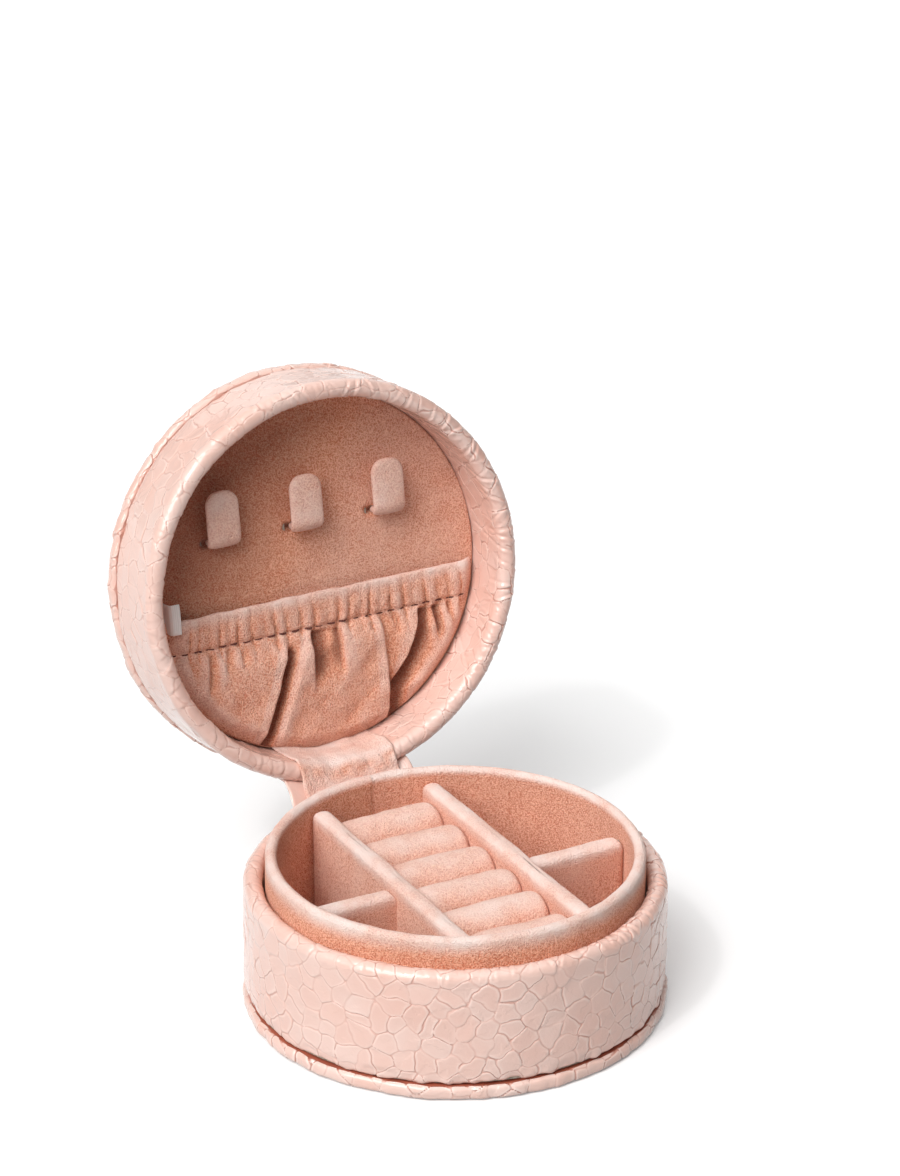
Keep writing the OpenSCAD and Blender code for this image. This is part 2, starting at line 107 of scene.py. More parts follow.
wall_low, wall_high = corners("base_wall_cover")
board_high = corners("base_wall_board")[1]
plate_low, plate_high = corners("base_plate_cover")
collar_high = corners("collar_velvet")[1]
floor_high = corners("base_floor_lining")[1]
lid_low, lid_high = corners("lid_wall_cover")
lid_plate_high = corners("lid_plate_cover")[1]
panel_low, panel_high = corners("panel_velvet")
strap_low, strap_high = corners("hinge_strap_base")
strip_low, strip_high = corners("hinge_strip_base")
tag_low, tag_high = corners("satin_tag")

WALL_R = wall_high[0]
BOARD_HALF_T = 1.5
RIM_R = (wall_high[2] - board_high[2]) + BOARD_HALF_T
WALL_IN = WALL_R - 2 * RIM_R
PLATE_R = plate_high[0]
PLATE_T = plate_high[2] - plate_low[2]
PLATE_EDGE = 1.1           # round of a plate's edges
PLATE_IN = 42.5            # radius to which its cloth is turned in
COLLAR_IN = floor_high[0] + 0.1
COLLAR_OUT = collar_high[0]
SKIRT_Z = corners("collar_packing_ring")[1][2]
PANEL_Z = panel_low[2]
PANEL_R = panel_high[0]


# ---- Mesh tools ----

def grid_quads(rows, cols, wrap_rows=False, wrap_cols=False, start=0):
    """Quads of a grid of points stored row by row, and the place of each corner in the unit square."""
    i, j = np.meshgrid(np.arange(rows - (not wrap_rows)), np.arange(cols - (not wrap_cols)), indexing="ij")
    i, j = i.ravel(), j.ravel()
    steps = ((0, 0), (0, 1), (1, 1), (1, 0))
    quads = np.stack([start + (i + a) % rows * cols + (j + b) % cols for a, b in steps], -1)
    span = np.array([cols - (not wrap_cols), rows - (not wrap_rows)], float)
    places = np.stack([np.stack([j + b, i + a], -1) / span for a, b in steps], 1)
    return quads, places


def volume(points, faces):
    """Signed volume of a closed mesh."""
    total = 0.0
    for face in faces:
        face = np.asarray(face)
        if face.ndim == 1:
            face = face[None]
        a = points[face[:, 0]]
        for k in range(1, face.shape[1] - 1):
            total += np.einsum("ij,ij->", a, np.cross(points[face[:, k]], points[face[:, k + 1]]))
    return total


def make(name, points, quads, body=None, caps=(), places=None, layers=None, replaces=(), slot=None,
         material=None):
    """A smooth mesh piece of quads and flat caps, its faces turned outward, riding on a CAD body."""
    points = np.asarray(points, float).reshape(-1, 3)
    flip = volume(points, [quads] + [np.asarray(c) for c in caps]) < 0
    faces = quads[:, ::-1] if flip else quads
    lists = faces.tolist() + [list(c)[::-1] if flip else list(c) for c in caps]
    mesh = bpy.data.meshes.new(name)
    mesh.from_pydata(points * MM, [], lists)
    if places is not None:
        corner_places = places[:, ::-1] if flip else places
        uv = mesh.uv_layers.new(name="OFBake")
        flat = corner_places.reshape(-1, 2)
        rest = np.zeros((len(mesh.loops) - len(flat), 2))
        uv.data.foreach_set("uv", np.concatenate([flat, rest]).astype(np.float32).ravel())
    for layer, values in (layers or {}).items():
        attribute = mesh.attributes.new(layer, "FLOAT", "POINT")
        attribute.data.foreach_set("value", np.asarray(values, np.float32).ravel())
    mesh.shade_smooth()
    piece = bpy.data.objects.new(name, mesh)
    bpy.context.scene.collection.objects.link(piece)
    if material:
        mesh.materials.append(material)
    if body:
        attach(piece, body)
    if replaces:
        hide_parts(*replaces)
    return piece


def slab(name, front, back, body, layers=None, **settings):
    """A closed sheet between two grids of points, stitched round their borders."""
    rows, cols = front.shape[:2]
    count = rows * cols
    quads, places = grid_quads(rows, cols)
    index = np.arange(count).reshape(rows, cols)
    border = np.concatenate([index[0, :-1], index[:-1, -1], index[-1, :0:-1], index[:0:-1, 0]])
    after = np.roll(border, -1)
    rim = np.stack([border, border + count, after + count, after], -1)
    flat = np.zeros((count, 2))
    flat[quads.ravel()] = places.reshape(-1, 2)
    rim_places = np.stack([flat[border], flat[border], flat[after], flat[after]], 1)
    places = np.concatenate([places, places, rim_places]) * [0.48, 1]
    places[len(quads):2 * len(quads), :, 0] += 0.51
    points = np.concatenate([front.reshape(-1, 3), back.reshape(-1, 3)])
    layers = {k: np.tile(v.ravel(), 2) for k, v in (layers or {}).items()}
    quads = np.concatenate([quads, quads[:, ::-1] + count, rim])
    return make(name, points, quads, body, places=places, layers=layers, **settings)


def arc(centre, radius, start, end, steps=24):
    """Points of an arc in a plane, from one angle to the other in degrees."""
    a = np.radians(np.linspace(start, end, steps))
    return np.stack([centre[0] + radius * np.cos(a), centre[1] + radius * np.sin(a)], -1)


def run_along(points):
    """Length run along a polyline at each of its points."""
    return np.concatenate([[0], np.cumsum(np.linalg.norm(np.diff(points, axis=0), axis=1))])


def right_of(path):
    """Unit normals to the right of an open outline in a plane."""
    way = np.gradient(path, axis=0)
    way /= np.linalg.norm(way, axis=1)[:, None]
    return np.stack([way[:, 1], -way[:, 0]], -1)


def turned(outline, angle):
    """Points, or directions, of an outline of (radius, height) pairs turned to each angle."""
    return np.stack([outline[:, 0, None] * np.cos(angle), outline[:, 0, None] * np.sin(angle),
                     outline[:, 1, None] + 0 * angle], -1)


def end_caps(rings):
    """Flat faces that close a tube's first and last ring."""
    around = np.arange(rings.shape[1])
    return [around[::-1], (len(rings) - 1) * rings.shape[1] + around]


def spaced(points, gap):
    """A polyline's points set again about gap apart."""
    points = np.asarray(points, float)
    run = run_along(points)
    keep = np.concatenate([[True], np.diff(run) > 1e-9])
    count = max(2, int(round(run[-1] / gap)) + 1)
    at = np.linspace(0, run[-1], count)
    return np.stack([np.interp(at, run[keep], points[keep, k]) for k in range(points.shape[1])], -1)


def soften(values, passes=1):
    """Even out each value with its two neighbours along the first axis, in place."""
    for _ in range(passes):
        values[1:-1] = (values[:-2] + 2 * values[1:-1] + values[2:]) / 4


def eased(line, gap, passes):
    """A polyline set out evenly and rounded."""
    path = spaced(line, gap)
    soften(path, passes)
    return spaced(path, gap)


def smooth(low, high, x):
    """Smooth step from 0 at low to 1 at high."""
    t = np.clip((x - low) / (high - low), 0, 1)
    return t * t * (3 - 2 * t)


def waves(points, seed, size, count=10):
    """Slow irregular waves of about unit height at 3-D points; size is their length in mm."""
    draw = np.random.default_rng(seed)
    way = draw.normal(size=(count, 3))
    way /= np.linalg.norm(way, axis=1)[:, None]
    pace = TAU / (size * draw.uniform(0.6, 1.7, count))
    phase = draw.uniform(0, TAU, count)
    points = np.asarray(points, float)
    total = sum(np.sin(points @ way[k] * pace[k] + phase[k]) for k in range(count))
    return total / math.sqrt(count / 2)


# ---- Crackled leathercloth ----

CELL = (5.5, 4.5)          # usual size of a cell
CELL_SCATTER = 0.78
CELL_WEIGHT = 4.6          # mm2, how unequal the cells are
CRACK_HALF = 0.20          # half width of a crack
CRACK_DEPTH = 0.12
LIP_AT, LIP_HALF = 0.42, 0.22
LIP_RISE = 0.050           # the raised edge of each cell, beside its cracks
PIT_HALF = 0.42            # half width of the pits where cracks meet
PIT_DEPTH = 0.05
CELL_TILT = 0.024
CELL_LIFT = 0.032
EDGE_FAR = 2.0             # distance from a crack beyond which the shader sees none


def worked(turn):
    """How strongly a wall's cloth is creased: more on the +X side than on the other."""
    return 0.62 + 0.38 * smooth(-0.7, 0.8, np.cos(turn + 0.35))


def cell_tables(seed, around):
    """Tables of the crackle's cells: counts and sizes both ways, scatter, weight, shade, tilt, lift."""
    draw = np.random.default_rng(seed)
    nu, nv = (2 * round(around / CELL[0] / 2) if around else 48), 48
    size = (around / nu if around else CELL[0]), CELL[1]
    scatter = draw.uniform(-0.5, 0.5, (nu, nv, 2)) * CELL_SCATTER
    scatter[:, ::2, 0] += 0.5
    weight = draw.uniform(0, 1, (nu, nv)) ** 1.5 * CELL_WEIGHT
    shade = draw.uniform(0, 1, (nu, nv))
    tilt = draw.normal(0, CELL_TILT, (nu, nv, 2))
    lift = draw.normal(0, CELL_LIFT, (nu, nv))
    return (nu, nv), size, scatter, weight, shade, tilt, lift


def cells_about(u, v, counts, size, scatter, weight):
    """The 25 cells about each place: their middles, how far off they count as, and their numbers."""
    i0, j0 = np.floor(u / size[0]).astype(int), np.floor(v / size[1]).astype(int)
    cells = []
    for di in range(-2, 3):
        for dj in range(-2, 3):
            i, j = i0 + di, j0 + dj
            im, jm = i % counts[0], j % counts[1]
            su = (i + 0.5 + scatter[im, jm, 0]) * size[0]
            sv = (j + 0.5 + scatter[im, jm, 1]) * size[1]
            power = (u - su) ** 2 + (v - sv) ** 2 - weight[im, jm]
            cells.append((su, sv, power, im * counts[1] + jm))
    return [np.stack(values) for values in zip(*cells)]


def pick(table, rows):
    """The value of each column at its row."""
    return np.take_along_axis(table, rows, 0)[0]


def crackle(u, v, seed, gap, around=None):
    """Relief of the leathercloth at developed places u, v, in mm, that repeats in u after around.

    Points less than half of gap from a crack are moved onto it, so that it stays thin and unbroken.
    Returns the moved u and v, the height, the distance from the nearest crack, how deep that crack is,
    from 0 to 1, and the cell's shade."""
    counts, size, scatter, weight, shade, tilt, lift = cell_tables(seed, around)
    ring = np.stack([u, v, 0 * v], -1)
    if around:
        turn = TAU * u / around
        ring = np.stack([WALL_R * np.cos(turn), WALL_R * np.sin(turn), v], -1)
    wu = u + 0.30 * waves(ring, seed + 1, 4.6)
    wv = v + 0.30 * waves(ring, seed + 2, 4.6)
    su, sv, power, key = cells_about(wu, wv, counts, size, scatter, weight)
    near = power.argmin(0)[None]
    mu, mv, mp, mk = (pick(a, near) for a in (su, sv, power, key))
    apart = np.hypot(su - mu, sv - mv)
    away = np.where(apart > 1e-6, (power - mp) / (2 * np.maximum(apart, 1e-6)), 99.0)
    next_to = away.argmin(0)[None]
    first = pick(away, next_to)
    su2, sv2, far = pick(su, next_to), pick(sv, next_to), pick(apart, next_to)
    snap = np.where(first < 0.5 * gap, first, 0) / far
    moved_u, moved_v = u + snap * (su2 - mu), v + snap * (sv2 - mv)
    away = np.where(first < 0.5 * gap, np.maximum(away - first, 0), away)
    pair = np.sin((key + mk) * 12.9898 + (key * mk % 1013) * 0.377) * 43758.5453
    strength = 0.25 + 0.75 * smooth(0.1, 0.9, pair - np.floor(pair))
    crack = 1 - np.prod(1 - strength * np.exp(-(away / CRACK_HALF) ** 2), 0)
    nearest = away.argmin(0)[None]
    deep = pick(strength, nearest) * (0.85 + 0.15 * np.clip(waves(ring, seed + 13, 45), -1, 1))
    if around:
        deep = deep * worked(turn)
        crack = crack * worked(turn)
    away = np.sort(away, 0)
    pit = np.exp(-(away[1] / PIT_HALF) ** 2)
    im, jm = mk // counts[1], mk % counts[1]
    height = -CRACK_DEPTH * crack - PIT_DEPTH * pit
    height += LIP_RISE * deep * np.exp(-((away[0] - LIP_AT) / LIP_HALF) ** 2)
    flat = 1 - np.exp(-(away[0] / 0.2) ** 2)
    height += flat * (tilt[im, jm, 0] * (wu - mu) + tilt[im, jm, 1] * (wv - mv) + lift[im, jm])
    return moved_u, moved_v, height, np.minimum(away[0], EDGE_FAR), deep, shade[im, jm]


def along_cracks(quads, places, edge):
    """Quads turned so that the diagonal they are split by runs along a crack, not across it."""
    across = edge[quads]
    swap = across[:, 1] + across[:, 3] < across[:, 0] + across[:, 2]
    quads = np.where(swap[:, None], np.roll(quads, -1, 1), quads)
    return quads, np.where(swap[:, None, None], np.roll(places, -1, 1), places)


def profile_normals(path):
    """Outward normals of a closed counter-clockwise outline."""
    along = np.roll(path, -1, 0) - np.roll(path, 1, 0)
    along /= np.linalg.norm(along, axis=1)[:, None]
    return np.stack([along[:, 1], -along[:, 0]], -1)


# ---- Materials ----

def srgb(r, g, b):
    """Linear colour of an sRGB colour, 0 to 255."""
    c = np.array([r, g, b]) / 255
    return (*np.where(c <= 0.04045, c / 12.92, ((c + 0.055) / 1.055) ** 2.4), 1.0)


def add(tree, kind, sockets=None, **settings):
    """A shader node with its settings, and with values or links in its sockets."""
    node = tree.nodes.new("ShaderNode" + kind)
    for key, value in settings.items():
        setattr(node, key, value)
    fill(tree, node, sockets or {})
    return node


def fill(tree, node, sockets):
    """Put values or links in a node's sockets."""
    for key, value in sockets.items():
        if isinstance(value, bpy.types.NodeSocket):
            tree.links.new(value, node.inputs[key])
        else:
            node.inputs[key].default_value = value


def start_material(name, **sockets):
    """A new material, its tree and its Principled shader."""
    m = bpy.data.materials.new(name)
    m.use_nodes = True
    shader = m.node_tree.nodes["Principled BSDF"]
    fill(m.node_tree, shader, {k.replace("_", " "): v for k, v in sockets.items()})
    return m, m.node_tree, shader


def mixed(tree, factor, a, b):
    """Colour output of a mix of two colours."""
    node = add(tree, "Mix", data_type="RGBA")
    fill(tree, node, {0: factor, 6: a, 7: b})
    return node.outputs[2]


def noise(tree, scale, detail=3.0, roughness=0.55, stretch=None):
    """Noise at object places; scale is in waves per metre."""
    place = add(tree, "TexCoord").outputs["Object"]
    if stretch:
        place = add(tree, "Mapping", {"Vector": place, "Scale": stretch}).outputs[0]
    return add(tree, "TexNoise", {"Vector": place, "Scale": scale, "Detail": detail,
                                  "Roughness": roughness}).outputs[0]


def layer(tree, name):
    """A mesh layer's value."""
    return add(tree, "Attribute", attribute_name=name).outputs["Fac"]


def ranged(tree, value, low, high, to_low=0.0, to_high=1.0):
    """A value's range mapped to another, and kept in it."""
    return add(tree, "MapRange", {0: value, 1: low, 2: high, 3: to_low, 4: to_high}).outputs[0]


def ribbed(tree, scale, way, bend):
    """Waves at object places along "X" or "Z"."""
    place = add(tree, "TexCoord").outputs["Object"]
    sockets = {"Vector": place, "Scale": scale, "Distortion": bend}
    return add(tree, "TexWave", sockets, bands_direction=way).outputs[0]


def bumped(tree, height, strength, distance, under=None):
    """Normal output of a bump, laid over another one."""
    sockets = {"Height": height, "Strength": strength, "Distance": distance}
    if under is not None:
        sockets["Normal"] = under
    return add(tree, "Bump", sockets).outputs[0]


def times(tree, a, b):
    """Product of two values."""
    return add(tree, "Math", {0: a, 1: b}, operation="MULTIPLY").outputs[0]


def greater(tree, a, b):
    """The greater of two values."""
    return add(tree, "Math", {0: a, 1: b}, operation="MAXIMUM").outputs[0]


def leather_material(name, fair, pink, groove, ridge):
    """Glossy leathercloth: "edge" is the distance from a crack in mm, "deep" how deep that crack is, and at
    a wall's foot and a plate's edge how much painted shade darkens the groove between them; "shade" holds
    each cell's tone and painted shade on the walls' +X side.
    """
    m, tree, shader = start_material(name, Roughness=0.42, Coat_Weight=0.8, Coat_Roughness=0.055,
                                     Specular_IOR_Level=0.4)
    edge, deep, shade = (layer(tree, name) for name in ("edge", "deep", "shade"))
    cloud = ranged(tree, noise(tree, 55), 0.3, 0.7, 0, 0.6)
    skin = mixed(tree, ranged(tree, shade, 0, 2.5, 0, 1.0), fair, pink)
    skin = mixed(tree, cloud, skin, pink)
    # the crack colour along each crack; at a wall's foot and a plate's edge it is painted shade in the
    # groove
    line = times(tree, ranged(tree, edge, 0.03, 0.22, 0.75, 0), deep)
    # painted highlight: the cells' raised lips beside each crack are drawn in the pale ridge colour
    lip = times(tree, ranged(tree, edge, 0.14, 0.30), ranged(tree, edge, 0.36, 0.80, 0.6, 0))
    skin = mixed(tree, times(tree, lip, deep), skin, ridge)
    skin = mixed(tree, line, skin, groove)
    tree.links.new(skin, shader.inputs["Base Color"])
    profile = add(tree, "ValToRGB", {0: edge})
    ramp = profile.color_ramp
    ramp.interpolation = "EASE"
    for at, level in ((0.0, 0.0), (0.16, 0.75), (0.34, 1.0), (0.75, 0.72)):
        spot = ramp.elements[0] if at == 0 else ramp.elements.new(at)
        spot.position, spot.color = at, (level, level, level, 1)
    ramp.elements[-1].color = (0.70, 0.70, 0.70, 1)
    emboss = bumped(tree, times(tree, profile.outputs[0], deep), 1.0, 0.00018)
    soft = bumped(tree, noise(tree, 420, 2.0), 0.30, 0.0003, emboss)
    grain = bumped(tree, noise(tree, 2600, 4.0, 0.6), 0.12, 0.0002, soft)
    fill(tree, shader, {"Normal": grain, "Coat Normal": soft})
    return m


def velvet_material(name, painted_shade, deep, fair, wear_and_sheen):
    """Short-pile velvet: the layer "pale" says how far it is drawn pale, partly by worn nap and partly as
    painted highlight, or, below 0, how much painted shade darkens it.
    """
    m, tree, shader = start_material(name, Roughness=0.95, Sheen_Weight=0.32, Sheen_Roughness=0.45,
                                     Sheen_Tint=srgb(255, 226, 214), Specular_IOR_Level=0.08)
    speck = noise(tree, 2700, 1.5, 0.6)
    nap = noise(tree, 120, 3.5, 0.6)
    pale = layer(tree, "pale")
    nap_and_painted_light = add(tree, "Math", {0: pale, 1: ranged(tree, nap, 0.3, 0.7, 0.6, 1.2)},
                  operation="MULTIPLY", use_clamp=True).outputs[0]
    cloth = mixed(tree, ranged(tree, speck, 0.35, 0.65), deep, fair)
    cloth = mixed(tree, ranged(tree, nap, 0.35, 0.75, 0, 0.35), cloth, fair)
    # pale above 0 draws the cloth towards a paler colour: partly worn nap, partly painted highlight
    cloth = mixed(tree, nap_and_painted_light, cloth, wear_and_sheen)
    plain = add(tree, "Math", {0: 1.0, 1: nap_and_painted_light}, operation="SUBTRACT", use_clamp=True).outputs[0]
    cloth = mixed(tree, times(tree, ranged(tree, speck, 0.30, 0.52, 0.65, 0), plain), cloth, deep)
    # painted shade: pale below 0 darkens the cloth towards the shade colour
    cloth = mixed(tree, ranged(tree, pale, -1, 0, 0.8, 0), cloth, painted_shade)
    fill(tree, shader, {"Base Color": cloth, "Normal": bumped(tree, speck, 1.0, 0.0006)})
    return m


# the pink tone is also painted shade on the walls' +X side, the groove colour also paints shade into the
# groove between wall and plate, and the ridge colour is a painted highlight along the cells' raised lips
LEATHER = leather_material("leathercloth", srgb(236, 207, 196), srgb(231, 182, 165), srgb(178, 96, 72),
                           srgb(252, 230, 220))
# the first colour is painted shade, for pale below 0; the last is partly worn nap and partly painted sheen
VELVET = velvet_material("velvet", srgb(104, 46, 30), srgb(212, 124, 92), srgb(255, 196, 165),
                         srgb(249, 226, 217))


def plain_material(name, colour, dark, rough, sheen):
    """Spun thread or satin: fine ribs along one way."""
    m, tree, shader = start_material(name, Roughness=rough, Sheen_Weight=sheen, Specular_IOR_Level=0.4)
    ribs = ribbed(tree, 620.0, "X", 0.8)
    fill(tree, shader, {"Base Color": mixed(tree, ribs, dark, colour),
                        "Normal": bumped(tree, ribs, 0.35, 0.0001)})
    return m


def card_material(name, colour, dark):
    """Flecked greyboard."""
    m, tree, shader = start_material(name, Roughness=0.85, Specular_IOR_Level=0.2)
    fleck = ranged(tree, noise(tree, 1500, 3.0, 0.7, (1, 1, 0.25)), 0.35, 0.65)
    fill(tree, shader, {"Base Color": mixed(tree, fleck, colour, dark),
                        "Normal": bumped(tree, noise(tree, 3000, 2.0), 0.3, 0.0002)})
    return m


def foam_material():
    """Foam dyed like the velvet, with fine cells."""
    m, tree, shader = start_material("foam", Roughness=0.95, Specular_IOR_Level=0.1)
    place = add(tree, "TexCoord").outputs["Object"]
    cells = add(tree, "TexVoronoi", {"Vector": place, "Scale": 1400.0}).outputs["Distance"]
    tone = mixed(tree, ranged(tree, cells, 0.1, 0.7), srgb(214, 176, 156), srgb(244, 218, 202))
    fill(tree, shader, {"Base Color": tone, "Normal": bumped(tree, cells, 0.5, 0.0004)})
    return m


def woven_material(name, colour, dark, across, along, rough, sheen):
    """Ribbed or satin weave: fine waves across and along."""
    m, tree, shader = start_material(name, Roughness=rough, Sheen_Weight=sheen, Specular_IOR_Level=0.35)
    weave = times(tree, ribbed(tree, across, "X", 0.4), ribbed(tree, along, "Z", 0.4))
    fill(tree, shader, {"Base Color": mixed(tree, weave, dark, colour),
                        "Normal": bumped(tree, weave, 0.4, 0.0002)})
    return m


CARD = card_material("greyboard", srgb(176, 166, 152), srgb(140, 130, 118))
FOAM = foam_material()
ELASTIC = woven_material("elastic", srgb(238, 234, 228), srgb(190, 184, 176), 420.0, 160.0, 0.7, 0.2)
THREAD = plain_material("thread", srgb(112, 58, 46), srgb(84, 40, 32), 0.7, 0.1)
SATIN = plain_material("satin", srgb(255, 254, 252), srgb(244, 240, 238), 0.35, 0.4)


# ---- Leathercloth walls and plates ----

WALL_AROUND = 816
FOOT_R = 1.7               # round of the turned-under foot, which makes the dark groove at the plate
FOOT_LIFT = (0.05, 0.62)   # least and most that the foot's cloth stands off the plate
FOOT_SINK = -0.42          # how far it may draw in, so that the board behind stays covered
GROOVE_PAINTED_SHADE = 1.3          # painted shade: how dark the groove between wall and plate is drawn, where a deep crack is 1
WALL_GAP = 0.386           # how far apart the points of its cloth are


def leather_piece(name, points, quads, body, replaces, relief_layers, **more):
    """A mesh piece of leathercloth, with its crackle's distance, depth and shade, which may carry painted
    shade too.
    """
    layers = dict(zip(("edge", "deep", "shade"), relief_layers))
    return make(name, points, quads, body, layers=layers, replaces=replaces, slot="leathercloth",
                material=LEATHER, **more)


def unseen_to_far(edge, show):
    """The distance from a crack, taken far away where the cloth is out of sight."""
    return EDGE_FAR + (edge - EDGE_FAR) * show


def wall_outline(height, seen):
    """Outline of a wall's section as (radius, height above its foot), and the length run along it.

    Dense where it is seen: the outer face, the round rim, and the inner face down to seen."""
    mid, crest = WALL_R - RIM_R, height - RIM_R
    outer = np.concatenate([arc((WALL_R - FOOT_R, FOOT_R), FOOT_R, -88, 0), [[WALL_R, crest]]])
    rim = spaced(arc((mid, crest), RIM_R, 0, 180), 0.33)
    inner = spaced([[WALL_IN, crest], [WALL_IN, seen]], 0.40)
    hidden = spaced([[WALL_IN, seen], [WALL_IN, 0.02], [WALL_R - FOOT_R, 0]], 3.0)
    path = np.concatenate([spaced(outer, 0.35), rim[1:], inner[1:], hidden[1:]])
    run = run_along(path)
    low = path[:, 0] < WALL_R - RIM_R
    show = smooth(0.4, 1.6, run) * np.where(low, smooth(seen - 1, seen + 1, path[:, 1]), 1.0)
    return path, run, show


def creases(u, v, seed, middle, reach):
    """Short folds of the cloth across a wall's rim; middle is the run at the rim, reach how far they go."""
    draw = np.random.default_rng(seed)
    around = TAU * WALL_R
    height, place = 0 * u, draw.uniform(0, 2)
    while place < around - 1:
        lean, low, high = draw.uniform(-0.7, 0.7), draw.uniform(1.0, 4.0), draw.uniform(3, reach)
        size = draw.uniform(0.5, 1.9) * (worked(place / WALL_R) ** 2)
        soft = draw.uniform(0.22, 0.45)
        off = (u - place - lean * (v - middle) + around / 2) % around - around / 2
        full = smooth(-low - 1.5, -low + 1, v - middle) * (1 - smooth(high - 1.5, high + 1.5, v - middle))
        ridge, dip = np.exp(-((off - 0.75) / 0.55) ** 2), np.exp(-(off / soft) ** 2)
        height += size * full * (0.12 * ridge - 0.17 * dip)
        place += draw.uniform(2.0, 5.0)
    return height


def settled(points, radius, height, seed, loose):
    """A wall's cloth with its slow sway, puckered and lifted at its foot, and drawn down at its rim."""
    level = points * [1, 1, 0]
    near = 1 - smooth(0.5, 4.0, points[..., 2])
    sway = 0.12 * waves(points, seed + 5, 60) + 0.07 * waves(points, seed + 6, 17)
    pucker = near * loose * (0.18 * waves(level, seed + 7, 8) + 0.13 * waves(level, seed + 8, 3) - 0.30)
    pucker = np.maximum(pucker, FOOT_SINK)
    outside = radius > WALL_R - RIM_R
    points[..., :2] *= (1 + (sway * (1 - near) + pucker * outside) / WALL_R)[..., None]
    lifted = smooth(WALL_R - 1.5, WALL_R - 0.5, radius) * np.exp(-points[..., 2] / 0.9) * (
        0.46 + 0.26 * waves(level, seed + 9, 11) + 0.14 * waves(level, seed + 12, 3.2))
    points[..., 2] += np.clip(loose * lifted, *FOOT_LIFT)
    top = smooth(height - 6, height, points[..., 2])
    points[..., 2] -= 0.08 * top * (1.6 + waves(points, seed + 10, 45))
    return points


def wall(name, height, seen, seed, loose, place, body, replaces):
    """A leathercloth wall: place turns (x, y, height above the foot) into its place on the box.

    loose says how far the cloth of its foot stands off the plate, and, up to 1, how much painted shade
    darkens the groove there."""
    path, run, show = wall_outline(height, seen)
    out = profile_normals(path)
    angle = np.arange(WALL_AROUND) * TAU / WALL_AROUND
    u, v = np.meshgrid(angle * WALL_R, run)
    new_u, new_v, relief, edge, deep, shade = (a.reshape(u.shape) for a in crackle(
        u.ravel(), v.ravel(), seed, WALL_GAP, TAU * WALL_R))
    show = show[:, None]
    turn = (u + (new_u - u) * show) / WALL_R
    at = v + (new_v - v) * show
    crest = run[np.argmax(path[:, 1])]
    folds = creases(turn * WALL_R, at, seed + 3, crest, height - seen + 4)
    relief = (relief + np.where(at > crest + RIM_R, np.minimum(folds, 0.03), folds)) * show
    edge = unseen_to_far(edge, show)
    # painted shade: the outer face's +X side, away from the light, gets more of the darker pink tone
    outer = np.interp(at, run, path[:, 0]) > WALL_R - RIM_R
    shade = shade + 1.3 * smooth(0.2, 1.0, np.cos(turn + 0.1)) * outer
    # painted shade: the foot's lowest part is drawn in the crack colour, darkening the groove between wall
    # and plate
    foot = 1 - smooth(0.8, 1.7, at)
    edge, deep = edge * (1 - foot), np.maximum(deep, GROOVE_PAINTED_SHADE * min(loose, 1) * foot)
    radius = np.interp(at, run, path[:, 0]) + np.interp(at, run, out[:, 0]) * relief
    up = np.interp(at, run, path[:, 1]) + np.interp(at, run, out[:, 1]) * relief
    points = settled(np.stack([radius * np.cos(turn), radius * np.sin(turn), up], -1), radius, height, seed,
                     loose)
    quads, places = along_cracks(*grid_quads(*u.shape, wrap_rows=True, wrap_cols=True), edge.ravel())
    return leather_piece(name, place(points), quads, body, replaces, (edge, deep, shade), places=places)


def disc_grid(cells):
    """Points of a unit disc set out evenly on a square grid's lines, and the border's indices in order."""
    t = np.linspace(-1, 1, cells + 1)
    a, b = (g.ravel() for g in np.meshgrid(t, t))
    wide = np.abs(a) >= np.abs(b)
    big = np.where(wide, a, b)
    safe = np.where(np.abs(big) < 1e-12, 1, big)
    turn = np.where(wide, (TAU / 8) * (b / safe), TAU / 4 - (TAU / 8) * (a / safe))
    index = np.arange((cells + 1) ** 2).reshape(cells + 1, -1)
    border = np.concatenate([index[:-1, -1], index[-1, :0:-1], index[:0:-1, 0], index[0, :-1]])
    return np.stack([big * np.cos(turn), big * np.sin(turn)], -1), border


def rimmed_disc(cells, flat_r, side):
    """A disc of radius flat_r whose border runs on down the outline side, (radius, height) pairs.

    Returns the disc's places, the side's outline, its normals, the length run from the centre, the
    border's angles, the quads and the last ring."""
    face, border = disc_grid(cells)
    face = face * flat_r
    angle = np.arctan2(face[border, 1], face[border, 0])
    run = flat_r + run_along(side)
    out = right_of(side)
    rings = len(face) + np.arange((len(side) - 1) * len(border)).reshape(-1, len(border))
    rings = np.concatenate([border[None], rings])
    beside = np.roll(rings, -1, 1)
    joined = np.stack([rings[:-1], rings[1:], beside[1:], beside[:-1]], -1).reshape(-1, 4)
    quads = np.concatenate([grid_quads(cells + 1, cells + 1)[0], joined])
    return face, side[1:], out[1:], run[1:], angle, quads, rings[-1]


